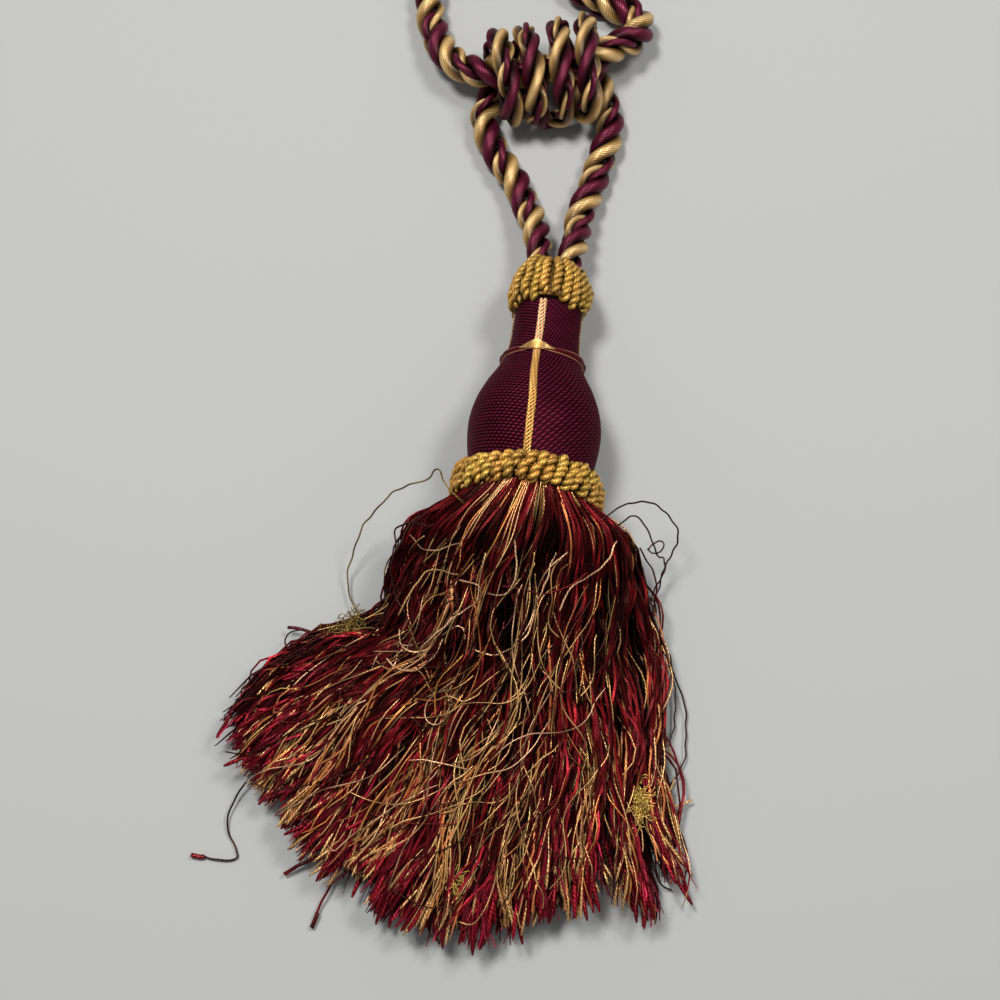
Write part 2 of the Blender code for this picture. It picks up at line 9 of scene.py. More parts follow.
import bpy
import numpy as np
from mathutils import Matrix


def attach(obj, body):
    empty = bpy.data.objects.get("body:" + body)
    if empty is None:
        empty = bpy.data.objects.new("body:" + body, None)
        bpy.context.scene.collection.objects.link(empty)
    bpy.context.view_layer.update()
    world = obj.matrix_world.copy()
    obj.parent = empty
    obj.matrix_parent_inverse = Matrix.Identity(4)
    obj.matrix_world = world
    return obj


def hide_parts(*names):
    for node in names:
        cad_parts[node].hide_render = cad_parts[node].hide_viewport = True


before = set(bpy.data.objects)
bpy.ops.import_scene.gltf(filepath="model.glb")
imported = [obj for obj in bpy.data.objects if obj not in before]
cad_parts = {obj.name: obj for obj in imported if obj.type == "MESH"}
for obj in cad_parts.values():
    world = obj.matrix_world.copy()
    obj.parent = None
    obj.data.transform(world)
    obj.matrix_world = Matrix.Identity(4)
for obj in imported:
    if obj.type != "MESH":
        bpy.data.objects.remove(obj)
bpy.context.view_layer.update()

MM = 0.001
SEEDS = {"upper_ruff": 5, "lower_ruff": 9, "skirt": 21, "loose": 33}
UP = np.array([0.0, 0.0, 1.0])

# ---- the head's axis and the lower ruff it starts from, as in the solids
LEAN = math.radians(6.1)
HEADING = math.radians(6.6)
RUFF_RADIUS = 23.5 * MM
RUFF_THICK = 9.2 * MM
RUFF_CREST = 3.2 * MM
RUFF_CRUSH = 0.3 * MM
UPPER_RUFF_START = 55.3 * MM
AXIS = np.array([math.cos(LEAN) * math.sin(HEADING), math.cos(LEAN) * math.cos(HEADING),
                 -math.sin(LEAN)])
SIDE = np.array([math.cos(HEADING), -math.sin(HEADING), 0.0])
FRONT = np.cross(SIDE, AXIS)
REST_SHIFT = RUFF_RADIUS * math.sin(LEAN)
HEAD_BASE = (np.array([REST_SHIFT * math.sin(HEADING), REST_SHIFT * math.cos(HEADING),
                       RUFF_RADIUS * math.cos(LEAN) - RUFF_CRUSH])
             + AXIS * (RUFF_THICK - RUFF_CREST))

# ---- head: distance above the lower ruff and radius, in millimetres
HEAD_PROFILE = [(0.3, 17.6), (4.0, 18.6), (8.0, 19.3), (12.0, 19.75), (16.0, 19.85), (20.0, 19.3),
                (24.0, 18.2), (29.0, 16.0), (33.6, 13.3), (37.4, 11.6), (40.4, 10.8), (43.5, 10.1),
                (49.0, 9.9), (55.0, 9.9)]
WRAP_PITCH = 1.0                    # mm between turns of the head's yarn
WRAP_RISE = (24, -8)                # pitches that the yarn climbs on the right and on the left half
WRAP_DEPTH = 0.24                   # mm
HEAD_STEP = 0.21                    # mm between rows of the head's mesh
HEAD_SIDES = 168

# ---- stripes, neck tie
# a stripe's turn round the neck, and how many degrees it has drifted at the belly
STRIPES = [
    {"name": "stripe_front", "turn": -10.0, "drift": 6.0},
    {"name": "stripe_right", "turn": 106.0, "drift": 4.0},
    {"name": "stripe_back", "turn": 180.0, "drift": -6.0},
    {"name": "stripe_left", "turn": 254.0, "drift": -4.0},
]
STRIPE_STRANDS = 4
STRIPE_LAY = 5.0                    # mm
STRIPE_STEP = 0.3                   # mm between points along a stripe
STRIPE_RISE = 0.36                  # mm, how far a stripe's middle line stands off the head
STRIPE_HALF = (0.20, 0.86)          # mm, how far its cords twist outwards and sideways
STRIPE_CORD = 0.46                  # mm, a cord's radius
RUFF_LAY = 4.6                      # mm
RUFF_STEP = 0.42                    # mm between points along a ruff's cord
RUFF_APART = 0.82                   # how far a cord's two plies stand from its middle, over their radius
RUFF_SQUEEZE = 0.22                 # how much shorter the lower ruff's loops are in front
UPPER_PLY = 1.0                     # mm, radius of a ply in each ruff
LOWER_PLY = 0.98
RUFF_REACH = 22.6                   # mm, how far the middle of its cords may stand from the axis
# a cord of a ruff: distances above the ruff's lower face and radii from the head's axis, in mm;
# the lower ruff has two rows of cords, the second turned by half a cord, and each ruff has a backing
UPPER_CORDS = 22
UPPER_CORD = ((15.4, 14.9, 13.2, 10.4, 7.2, 4.2, 1.6, 0.1, 0.9),
              (4.6, 6.8, 8.8, 10.2, 11.1, 11.6, 11.5, 10.7, 9.9))
UPPER_SWELL = ((0.0, 0.15, 0.55, 0.8, 1.0), (0.55, 0.80, 0.98, 1.0, 0.75))      # a ply's size along it
UPPER_BACKING = ((0.6, 4.0, 8.0, 12.0, 14.6), (10.4, 10.9, 10.1, 8.2, 3.6))
# how unevenly they lie: degrees off their places, mm up or down and degrees aside at the bottom and
# at the top, and mm in or out for a whole cord and for each of its points
UPPER_OFF = 3.4
UPPER_RISE = {"bottom": (-1.5, 2.0), "top": (-1.4, 0.6)}
UPPER_SWAY = {"bottom": 4.5, "top": 5.0}
UPPER_BULGE = {"cord": (-0.7, 0.3), "point": (-0.45, 0.45)}
LOWER_CORDS = 38
LOWER_SWELL = ((0.0, 0.2, 0.8, 1.0), (0.7, 1.0, 1.0, 0.7))
LOWER_ROWS = (((8.8, 9.1, 8.4, 6.9, 5.2, 4.4), (17.8, 19.9, 21.2, 21.9, 21.4, 19.8), 0.0),
              ((4.9, 5.0, 4.1, 2.5, 0.8, 0.3), (19.6, 21.1, 22.1, 22.2, 21.3, 19.4), 0.5))
LOWER_OFF = 1.8                     # degrees
LOWER_SLANT = (-5.0, -2.0)          # degrees aside at a cord's lower end, and as far back at its upper
LOWER_RISE = 0.7                    # mm
LOWER_BULGE = (-0.5, 0.25)          # mm
LOWER_BACKING = ((2.8, 3.2, 4.0, 5.5, 7.5, 8.8, 9.0), (17.0, 19.4, 20.0, 20.0, 19.7, 18.4, 16.5))
TIE_LOW = 36.8                      # mm above the lower ruff, the straight lower edge of the tie
TIE_PEAK = 3.4                      # mm, the height of its gold knot
TIE_REACH = 25.0                    # degrees, half the knot's width
TIE_TURNS = (12.0, 40.0, 90.0, 180.0)       # degrees from the knot's middle
# how far each thread of the tie stands above TIE_LOW (mm) at those turns; slot 0 is copper, 1 burgundy
TIE_THREADS = [
    {"slot": 0, "radius": 0.20, "up": (1.0, 1.3, 2.5, 1.8)},
    {"slot": 0, "radius": 0.20, "up": (0.1, -0.1, 0.1, 0.8)},
    {"slot": 1, "radius": 0.36, "up": (0.8, 1.0, 2.0, 1.6)},
    {"slot": 1, "radius": 0.36, "up": (0.6, 0.7, 1.4, 1.3)},
    {"slot": 1, "radius": 0.36, "up": (0.4, 0.4, 0.8, 1.0)},
]

# ---- ropes
ROPE_RADIUS = 5.0 * MM
ROPE_LAY = 20.5 * MM
HITCH_LAY = 28.0 * MM               # the looser lay of the cord's wraps
ROPE_START = math.radians(60.0)     # the first ply's turn at each rope's start
PLY_SHARE = 0.445                   # a ply's radius over the rope's radius
PAIR_LAY = 10.0 * MM                # the third ply is a gold and a burgundy strand twisted together
PAIR_APART = 0.47                   # how far they stand from that ply's middle, over a ply's radius
PAIR_SHARE = 0.56                   # their radius over a ply's radius
HITCH_CENTRE = np.array([6.8, 143.5, 0.0]) * MM
HITCH_HEADING = math.radians(6.5)
WRAP_RADIUS = 3.9 * MM
WRAP_REACH = 13.6 * MM
WRAP_WIDENING = 0.08
WRAP_HEIGHT = 9.8 * MM
WRAP_STEP = 15.0
TABLE_CLEARANCE = 0.15 * MM
WRAP_SHIFT = [(-48.0, 0.0), (-42.0, 2.7), (-27.0, 4.4), (0.0, 4.2), (90.0, 4.4), (180.0, 5.6),
              (270.0, 8.4), (360.0, 12.2), (450.0, 12.9), (540.0, 14.4), (630.0, 17.5), (645.0, 18.3)]
BIGHT_RADIUS = 3.1 * MM
BIGHT_PUSH = 0.32
LEG_SPREAD = 4.55 * MM
LEG_END_RADIUS = 4.2 * MM
LEG_RADIUS = 4.85 * MM
# the cord's radius, by the share of its length from its nearer end
LEG_TAPER = ((0.0, 0.05, 0.12, 0.17), (LEG_END_RADIUS, LEG_RADIUS, LEG_RADIUS, WRAP_RADIUS))
BIGHT_TAPER = ((0.465, 0.48), (WRAP_RADIUS, BIGHT_RADIUS))
LAY_CHANGE = ((0.15, 0.19), (ROPE_LAY, HITCH_LAY))
LEFT_LEG = [(4.6, 86.0, 12.6), (2.6, 95.0, 8.6), (-1.3, 107.0, 5.4), (-6.8, 116.5, 4.9),
            (-10.9, 124.6, 4.9), (-12.8, 131.5, 4.7)]
RIGHT_LEG = [(15.2, 85.0, 12.8), (16.9, 94.0, 8.7), (20.6, 106.6, 5.4), (24.8, 118.0, 4.9),
             (27.3, 128.5, 4.9), (27.2, 136.0, 4.6)]
LOOP_ROUTE = [(28.6, 152.6, 13.2), (34.6, 156.2, 11.2), (37.4, 162.4, 8.0), (34.4, 168.0, 5.8),
              (27.2, 171.0, 5.05), (19.6, 175.6, 5.05), (14.2, 183.6, 5.05), (13.4, 195.0, 5.05),
              (16.0, 210.0, 5.05), (21.0, 230.0, 5.05), (26.5, 255.0, 5.05), (30.0, 282.0, 5.05),
              (29.0, 310.0, 5.05), (21.0, 334.0, 5.05), (6.0, 350.0, 5.05), (-13.0, 354.0, 5.05),
              (-30.0, 345.0, 5.05), (-41.0, 326.0, 5.05), (-45.0, 301.0, 5.05), (-44.0, 273.0, 5.05),
              (-40.5, 245.0, 5.05), (-36.0, 218.0, 5.05), (-32.0, 193.0, 5.05), (-30.2, 174.0, 5.1),
              (-29.0, 162.0, 6.0), (-24.6, 152.0, 8.8), (-18.4, 145.8, 11.8)]
INSIDE_RIGHT = [(0.3, 0.8), (8.0, 1.6), (16.0, 2.7)]
INSIDE_LEFT = [(-16.0, 1.4), (-8.0, 0.6), (-0.3, 0.8)]

# ---- skirt: rows across the fan (left, middle and right x, y), crown, edge and lift heights, in mm;
# they are the solids' rows, but the first two are wider, where threads stand out from the locks, and
# the edges of the last three hang 0.3 mm above the table
SKIRT_ROWS = [
    {"left": (-33.5, -5.0), "middle": (-0.9, -11.0), "right": (32.5, -9.5),
     "crown": 41.0, "edge": 7.0, "lift": 14.0},
    {"left": (-39.0, -15.0), "middle": (-3.9, -25.5), "right": (37.6, -23.0),
     "crown": 37.0, "edge": 8.0, "lift": 5.0},
    {"left": (-45.0, -30.0), "middle": (-7.5, -49.5), "right": (39.6, -41.0),
     "crown": 31.0, "edge": 8.0, "lift": 0.5},
    {"left": (-66.0, -36.5), "middle": (-10.5, -73.0), "right": (42.0, -61.0),
     "crown": 25.0, "edge": 8.0, "lift": 0.3},
    {"left": (-84.0, -52.0), "middle": (-13.3, -99.5), "right": (45.0, -84.5),
     "crown": 20.0, "edge": 7.0, "lift": 0.3},
    {"left": (-97.0, -68.0), "middle": (-16.2, -127.5), "right": (50.5, -114.0),
     "crown": 15.0, "edge": 6.0, "lift": 0.3},
]
ROOT_RADIUS = 20.0 * MM
ROOT_DEPTH = 2.0 * MM               # how far up inside the lower ruff the threads start
HOLLOW_RUN = np.array([-0.30, -0.954])      # the way that the hollows between locks run

# ---- skirt looks: threads of each kind, steps along each, the level they start above and their size (mm)
THREADS = [
    # the core's near-black threads fill the skirt's underside, dark as painted shade beneath the others
    {"name": "skirt_core", "kind": "deep", "count": 1300, "steps": 14, "top": 0.0, "loose": 0.0,
     "pull": 0.35, "size": 0.38},
    {"name": "skirt_burgundy", "kind": "burgundy", "count": 1350, "steps": 40, "top": 0.40,
     "loose": 0.3, "pull": 0.62, "size": 0.66},
    {"name": "skirt_crimson", "kind": "crimson", "count": 1350, "steps": 40, "top": 0.48,
     "loose": 0.5, "pull": 0.60, "size": 0.64},
    {"name": "skirt_copper", "kind": "copper", "count": 330, "steps": 40, "top": 0.52,
     "loose": 0.6, "pull": 0.60, "size": 0.58},
    {"name": "skirt_gold", "kind": "gold", "count": 630, "steps": 40, "top": 0.58,
     "loose": 0.9, "pull": 0.58, "size": 0.30},
]
SKIRT_SWAY = (0.14, 0.21, 0.24, 0.31, 0.40, 0.50)   # how far the upper threads swing left at each row
DEPTH_CELL = 1.5                    # mm, the grid on which the skirt's height is taken
# painted shade, darker the deeper a point lies under the skirt's top, with a painted highlight at the top
# itself
DEPTH_SHADE = ((0.0, 0.5, 1.3, 2.7, 6.5), (1.30, 0.85, 0.40, 0.17, 0.08))   # by mm under the skirt's top
# painted shade and highlight along the threads' length, root to tip: darkest in the skirt's deep upper half
LENGTH_PLACES = (0.0, 0.10, 0.26, 0.50, 0.66, 1.0)
GOLD_LENGTH_SHADE = (1.50, 1.65, 0.90, 0.80, 1.20, 1.10)
RED_LENGTH_SHADE = (0.80, 0.92, 0.52, 0.50, 1.05, 1.15)
LOBE_START = -0.50                  # where, across the fan, the left lobe's uneven ends begin
LOBE_SHORT = 0.34                   # how much shorter the shortest of its threads are
LOBE_FLARE = np.array([-4.4, 2.4])  # mm, how far their ends swing out
LOBE_DROP = np.array([4.6, -5.0])   # mm, how far the lobe's upper edge sags
# how many rows longer (or shorter, below 0) the threads are, by where they end across the fan
SKIRT_EDGE = ((-1.0, -0.75, -0.5, -0.25, 0.0, 0.12, 0.22, 0.5, 0.65, 0.75, 0.85, 1.0),
              (-0.10, -0.02, 0.26, 0.22, 0.02, -0.08, -0.32, -0.30, -0.32, -0.12, 0.05, 0.20))
TIP_DRIFT = 1.3                     # mm, how far a thread's last third strays sideways
THREAD_SHORT = 0.09                 # how much shorter the shortest threads are
THREAD_DRAWN = (0.55, 1.1)          # how unevenly threads are drawn to their lock
THREAD_WAVE = (0.35, 1.1)           # how wavy the least and the most wavy thread are
LOBE_WAVE = 1.2                     # how much wavier they are in the left lobe
THREAD_FLOOR = 0.35                 # mm, the lowest that a thread lies
# waves of the threads and of single strays: the shortest and longest, and how far they swing, in mm
THREAD_WAVES = ((17.0, 30.0, 0.55), (30.0, 60.0, 1.4))
STRAY_WAVES = ((5.0, 9.0, 0.30), (12.0, 20.0, 0.45))
STRAY_WAVY = 0.6
CORE_SHORT = 0.06                   # how much shorter the hidden threads are
LOBE_GOLD = 0.12                    # how much less gold the lobe's locks have
LOBE_DARK = 0.22                    # how much darker the lobe's locks are
TIPPED = 0.40                       # the share of crimson and gold threads with a fat cut end
TIP_STEPS = (0.0, 0.25, 0.6, 0.95, 1.15)    # where a fat end's rings sit along the thread's last two steps
TIP_RADII = (0.30, 0.52, 0.66, 0.60, 0.28)  # mm
LIKING = 0.9                        # how strongly the locks choose between gold and red threads
SINKING = 0.62                      # the share of gold threads that dip
SINK = 0.22                         # how far gold threads dip under the others half-way down the skirt
LOCKS = 190
LOOSE_STEPS = 34
LOOSE_POINTS = 46
LOOSE_LENGTH = (18.0, 52.0)         # mm
LOOSE = 150                         # long threads that wander over the skirt
LOOSE_ROWS = (1.4, 4.5)             # the rows that they start at
LOOSE_REACH = (1.3, 5.8)            # the rows that they keep to
LOOSE_ACROSS = (-0.75, 0.80)        # the places across the fan that they start at
LOOSE_HEADING = (-0.40, 0.42)       # the middle and spread of their ways: radians to the right of down
LOOSE_CURLED = 0.07                 # the share of them that end in a curl
LOOSE_CURL = 5.0                    # radians
ROW_RUN = 22.0                      # mm from row to row
FAN_HALF = 68.0                     # mm from the fan's middle to its side
# painted highlight: the glints along the skirt's threads
GLINT = 0.9                         # how much lighter the bright stretches of a thread are
CANDIDATES = 1.8                    # threads drawn for each one kept, so that some locks have more gold
# gaps between locks at the fan's lower edge: place across it, and how wide they open
PARTINGS = [
    {"across": -0.52, "open": 0.008}, {"across": -0.18, "open": 0.022}, {"across": 0.30, "open": 0.024},
    {"across": 0.62, "open": 0.040}, {"across": 0.84, "open": 0.060},
]
# hollows between the upper locks: middle (x, y), half length along the threads and half width, mm
HOLLOWS = [
    {"x": 6.8, "y": -15.6, "long": 8.0, "wide": 2.6}, {"x": -5.6, "y": -36.0, "long": 13.0, "wide": 4.2},
    {"x": -20.7, "y": -43.3, "long": 8.0, "wide": 2.6}, {"x": -13.0, "y": -14.0, "long": 7.0, "wide": 1.6},
    {"x": 21.0, "y": -40.0, "long": 11.0, "wide": 1.8},
]
# single threads that lie loose on the skirt or beside it, as the photograph shows them:
# colour, radius and points (x, y, z), all in mm
STRAYS = [
    ("olive", 0.26, [(-18.0, -3.0, 38), (-22.0, 0.6, 40), (-24.1, 3.6, 41), (-24.9, 6.1, 42),
        (-26.7, 6.3, 41), (-28.5, 4.1, 38), (-35.5, 4.4, 30), (-44.8, -0.4, 20), (-51.2, -8.8, 10),
        (-53.6, -18.3, 4), (-52.3, -25.8, 3), (-49.1, -30.4, 6)]),
    ("deep", 0.27, [(19.0, -9.0, 33), (26.7, -3.3, 34), (30.4, -0.8, 30), (36.6, 0.2, 26),
        (41.8, -1.8, 22), (44.9, -6.5, 20), (44.4, -11.3, 14), (41.1, -17.6, 8), (39.0, -24.9, 6)]),
    ("deep", 0.26, [(23.0, -10.0, 28), (28.9, -5.9, 30), (31.2, -3.7, 26), (33.7, -4.4, 24),
        (36.7, -8.5, 22), (39.1, -14.1, 20), (41.2, -14.8, 16), (40.5, -19.2, 8), (37.5, -24.9, 6)]),
    ("deep", 0.26, [(36.6, -11.3, 14), (37.8, -9.7, 14), (40.2, -8.5, 14), (41.4, -9.7, 14),
        (40.2, -11.7, 13), (37.8, -12.0, 13), (36.4, -10.7, 13)]),
    ("deep", 0.28, [(38.6, -37.4, 8), (42.6, -43.0, 5), (46.2, -51.7, 3), (47.9, -59.1, 2),
        (47.8, -66.6, 2), (46.5, -74.0, 2), (43.3, -80.1, 3)]),
    ("deep", 0.3, [(-82.7, -79.3, 4), (-85.7, -83.6, 3), (-88.0, -89.7, 2), (-87.6, -94.6, 1),
        (-85.2, -99.0, 1), (-84.8, -101.3, 1), (-88.6, -101.9, 1), (-94.2, -101.0, 1),
        (-97.4, -101.0, 1.2)]),
    ("crimson", 0.75, [(-94.6, -101.0, 1.1), (-96.4, -100.9, 1.2), (-98.6, -100.4, 1.2)]),
    ("purple", 0.55, [(-62.2, -36.9, 5), (-64.0, -35.0, 6), (-67.7, -33.5, 5), (-71.4, -32.8, 4)]),
    ("deep", 0.26, [(-70.5, -45.2, 4), (-71.3, -40.1, 6), (-71.9, -37.3, 7), (-69.8, -35.0, 8),
        (-65.9, -34.4, 8), (-62.9, -36.2, 8), (-61.9, -39.0, 8)]),
    ("gold", 0.4, [(42.5, -86.7, 4), (45.5, -86.1, 4), (49.1, -84.5, 3)]),
    ("crimson", 0.42, [(-54.0, -100.0, 6), (-56.4, -107.0, 4), (-58.6, -112.2, 3), (-60.8, -116.4, 2),
        (-62.3, -120.7, 1.5)]),
    ("crimson", 0.72, [(-61.0, -117.2, 2), (-61.8, -119.4, 1.7), (-62.6, -121.5, 1.5)]),
    ("crimson", 0.62, [(-60.8, -101.2, 4), (-65.9, -103.3, 3.5), (-68.6, -104.8, 2.8),
        (-71.0, -106.0, 2.2)]),
    ("deep", 0.26, [(37.8, -102.1, 4), (38.5, -106.3, 2), (39.9, -109.2, 1.5), (42.8, -110.6, 1.5)]),
    ("pale", 0.26, [(-11.7, -18.0, 40), (-13.7, -26.1, 38), (-14.3, -31.0, 36), (-19.5, -34.7, 33),
        (-24.7, -38.6, 30)]),
    ("pale", 0.27, [(-17.5, -43.0, 30), (-13.1, -45.2, 31), (-8.2, -46.0, 32), (-1.8, -42.8, 34),
        (1.3, -37.9, 35), (3.3, -31.0, 37), (6.2, -24.0, 39), (8.5, -18.0, 41)]),
    ("pale", 0.26, [(-40.5, -46.0, 25), (-37.7, -48.8, 26), (-32.1, -50.0, 28), (-26.8, -46.2, 29),
        (-24.0, -41.0, 30)]),
    ("gold", 0.26, [(-37.0, -34.0, 29), (-34.1, -28.6, 31), (-31.5, -25.1, 33), (-27.7, -22.0, 35),
        (-19.5, -23.8, 38)]),
    ("pale", 0.25, [(-11.1, -29.1, 37), (-8.5, -29.9, 38), (-5.6, -29.3, 38), (-3.6, -26.2, 39),
        (-3.0, -22.6, 40), (-3.3, -14.5, 42)]),
    ("deep", 0.28, [(-34.3, -34.1, 26), (-37.8, -28.1, 26), (-39.3, -21.0, 28), (-37.8, -13.9, 31),
        (-38.3, -8.9, 32), (-34.1, -8.2, 35), (-28.8, -9.5, 38)]),
    ("pale", 0.26, [(-19.2, -25.3, 37), (-14.0, -27.2, 39), (-13.4, -30.5, 37), (-17.4, -33.6, 35),
        (-21.5, -36.2, 34), (-27.3, -40.9, 31), (-32.3, -46.2, 28), (-37.3, -49.3, 26)]),
    ("pale", 0.26, [(-36.8, -37.9, 28), (-36.2, -42.4, 28), (-32.7, -44.6, 28), (-28.6, -43.9, 29),
        (-25.9, -40.7, 31)]),
    ("pale", 0.25, [(-24.3, -40.4, 31), (-20.4, -38.0, 33), (-18.0, -38.9, 33), (-17.5, -42.1, 32)]),
    ("pale", 0.26, [(9.4, -34.0, 36), (11.1, -30.3, 37), (13.1, -27.4, 38), (18.4, -23.8, 37),
        (23.4, -19.2, 36), (26.2, -13.4, 35)]),
    ("deep", 0.26, [(37.9, -28.9, 8), (39.4, -34.6, 6), (41.5, -39.6, 5), (43.6, -41.6, 4),
        (43.9, -47.2, 3), (45.0, -54.7, 3), (44.3, -61.2, 2), (42.6, -68.5, 3)]),
    ("deep", 0.26, [(39.3, -23.9, 7), (37.7, -25.4, 7), (36.8, -27.8, 7), (37.9, -30.3, 7),
        (39.1, -28.9, 8), (38.8, -26.2, 8), (37.4, -24.5, 7)]),
    ("gold", 0.27, [(33.3, -41.8, 12), (36.2, -47.6, 11), (37.9, -55.8, 10), (40.3, -61.5, 8),
        (41.8, -68.3, 6), (43.7, -71.9, 4)]),
    ("gold", 0.28, [(32.0, -84.0, 12), (36.2, -84.5, 11), (39.8, -84.0, 9), (42.4, -81.7, 7),
        (43.8, -78.2, 5)]),
    ("deep", 0.24, [(41.8, -86.5, 5), (43.6, -89.9, 4), (46.0, -94.7, 2), (47.5, -99.5, 1)]),
    ("burgundy", 0.27, [(33.4, -13.4, 26), (35.4, -16.1, 22), (38.1, -18.4, 16), (39.0, -22.8, 11),
        (38.5, -28.3, 8)]),
    ("burgundy", 0.27, [(35.5, -29.7, 12), (37.0, -37.8, 10), (36.3, -44.4, 10), (38.4, -52.5, 8),
        (36.7, -60.4, 9)]),
    ("olive", 0.26, [(-34.1, -36.9, 29), (-28.0, -51.8, 27), (-22.7, -58.8, 25), (-16.3, -66.0, 24),
        (-10.5, -71.6, 23)]),
]
# fuzzy tufts: colour and middle (x, y, z) in mm
TUFTS = [
    ("yellow", (33.4, -85.0, 13.5)),
    ("yellow", (-20.6, -108.5, 16.0)),
    ("yellow", (32.2, -88.2, 13.0)),
    ("olive", (-55.0, -36.6, 13.0)),
    ("olive", (-51.0, -33.5, 16.0)),
    ("olive", (-60.0, -40.0, 11.0)),
]
TUFT_FIBRES = 70
TUFT_STEPS = 9

# painted shade and highlight on a cord's surface, by how far it faces out of its rope or ruff (-1 inwards,
# 1 outwards): darkened between plies and cords, lightened where it faces out
FACING_SHADE = ((-1.0, 0.0, 0.45, 0.80, 1.0), (0.05, 0.12, 0.42, 1.0, 1.30))
# the crest's tint is a painted highlight along the sides that face out most
PAINTED_HIGHLIGHT_START = 0.7                   # how far it has to face outwards to take the crest's tint

# ---- stage: the camera looks down at the table at the photograph's angle
CAMERA_ELEVATION = math.radians(76.0)
CAMERA_DISTANCE = 0.65
CAMERA_TARGET = np.array([-7.626, 3.882, 15.0]) * MM
CAMERA_LENS = 78.0                  # mm, on a 36 mm sensor
FLOOR_REACH = 3.0
LAMPS = (("key", (-0.34, 0.30, 1.30), 16.0), ("side", (0.50, 0.30, 1.10), 7.6))     # place and power, W
LAMP_SIZE = 0.28
LAMP_AIM = (0.0, 0.02, 0.0)
LAMP_COLOUR = (1.0, 0.95, 0.88)
ROOM_COLOUR = (1.0, 0.97, 0.94, 1.0)
ROOM_STRENGTH = 0.27
TABLE_GREY = (0.372, 0.391, 0.406, 1.0)

# ---- colours, linear
GOLD = (0.63, 0.355, 0.10)
RUFF_GOLD = (0.60, 0.36, 0.072)
TIE_GOLD = (0.80, 0.50, 0.17)
# the backings' dark gold is painted shade: it stands for the shadow between a ruff's cords
BACKING_SHADE_GOLD = (0.16, 0.085, 0.018)
PEACH = (0.74, 0.45, 0.25)
COPPER = (0.46, 0.18, 0.062)
STRAW = (0.87, 0.565, 0.25)
BURGUNDY = (0.085, 0.005, 0.009)
HEAD_BURGUNDY = (0.158, 0.0155, 0.050)
DEEP_BURGUNDY = (0.008, 0.0006, 0.002)
CRIMSON = (0.20, 0.008, 0.018)
# deep is near black: the colour of dark stray threads, and under the skirt painted shade beneath the others
KINDS = {
    "deep": (0.034, 0.004, 0.004), "burgundy": BURGUNDY, "crimson": CRIMSON, "copper": COPPER,
    "gold": STRAW, "pale": (0.90, 0.60, 0.38), "olive": (0.34, 0.25, 0.075),
    "purple": (0.16, 0.02, 0.06), "yellow": (1.0, 0.76, 0.22),
}
# gold threads that are paler or browner than the rest: the share of them and how their colour differs
PALER = (0.30, (1.15, 1.15, 1.28))
BROWNER = (0.22, (0.66, 0.48, 0.32))
ROPE_COLOURS = ((0.49, 0.28, 0.08), (0.108, 0.0065, 0.027))
# painted highlight: a paler tint along each ply's outer side
ROPE_PAINTED_HIGHLIGHTS = ((1.3, 1.72, 2.9), (1.05, 1.5, 1.3))      # paler along a ply's outer side
ROSE_GLINT = (1.0, 0.38, 0.34)      # the tint of burgundy yarn's highlights
GOLD_GLINT = (1.0, 0.80, 0.52)
PEACH_GLINT = (1.0, 0.74, 0.60)
ROPE_GLINT = (1.0, 0.90, 0.78)


# ---------------------------------------------------------------- lines
def spline(before, start, end, after, share):
    """A Catmull-Rom step between start and end."""
    square, cube = share * share, share ** 3
    return 0.5 * (2.0 * start + (end - before) * share
                  + (2.0 * before - 5.0 * start + 4.0 * end - after) * square
                  + (3.0 * start - before - 3.0 * end + after) * cube)


def smooth_line(points, spacing):
    """Points about a spacing apart on a smooth curve through the given ones."""
    points = np.asarray(points, float)
    ends = np.vstack([2 * points[0] - points[1], points, 2 * points[-1] - points[-2]])
    fine = [spline(*ends[at:at + 4], step / 12.0) for at in range(len(points) - 1)
            for step in range(12)]
    return even_line(np.vstack([fine, points[-1:]]), spacing)


def even_line(fine, spacing):
    """The same line cut into equal steps."""
    lengths = np.concatenate([[0.0], np.cumsum(np.linalg.norm(np.diff(fine, axis=0), axis=1))])
    count = max(2, round(lengths[-1] / spacing))
    where = np.linspace(0.0, lengths[-1], count + 1)
    return np.stack([np.interp(where, lengths, fine[:, axis]) for axis in range(3)], axis=1)


def recut(line, count):
    """The line with another number of points, spaced as before."""
    share = np.linspace(0.0, 1.0, count)
    before = np.linspace(0.0, 1.0, len(line))
    return np.stack([np.interp(share, before, line[:, axis]) for axis in range(3)], axis=1)


def unit(vectors):
    """The same directions with length one."""
    return vectors / np.maximum(np.linalg.norm(vectors, axis=-1, keepdims=True), 1e-12)


def frames(lines):
    """Two directions square to each line, turned as little as the line allows."""
    ahead = unit(np.gradient(lines, axis=1))
    normal = np.empty_like(ahead)
    first = UP - ahead[:, 0] * (ahead[:, 0] @ UP)[:, None]
    upright = np.linalg.norm(first, axis=1, keepdims=True) < 0.05
    normal[:, 0] = unit(np.where(upright, np.cross(ahead[:, 0], [1.0, 0.0, 0.0]), first))
    for at in range(1, lines.shape[1]):
        last = normal[:, at - 1]
        normal[:, at] = unit(last - ahead[:, at] * np.sum(last * ahead[:, at], axis=1)[:, None])
    return normal, np.cross(ahead, normal)


def circle(first, second, angle):
    """Directions at an angle (radians) from the first of two that are square to each other."""
    return first * np.cos(angle) + second * np.sin(angle)


def wave_at(run, length, start):
    """A sine wave of the given length at distances run along a line, from -1 to 1."""
    return np.sin(math.tau * run / length + start)


def distances(lines):
    """The distance run along each line."""
    steps = np.linalg.norm(np.diff(lines, axis=1), axis=2)
    return np.concatenate([np.zeros((len(lines), 1)), np.cumsum(steps, axis=1)], axis=1)


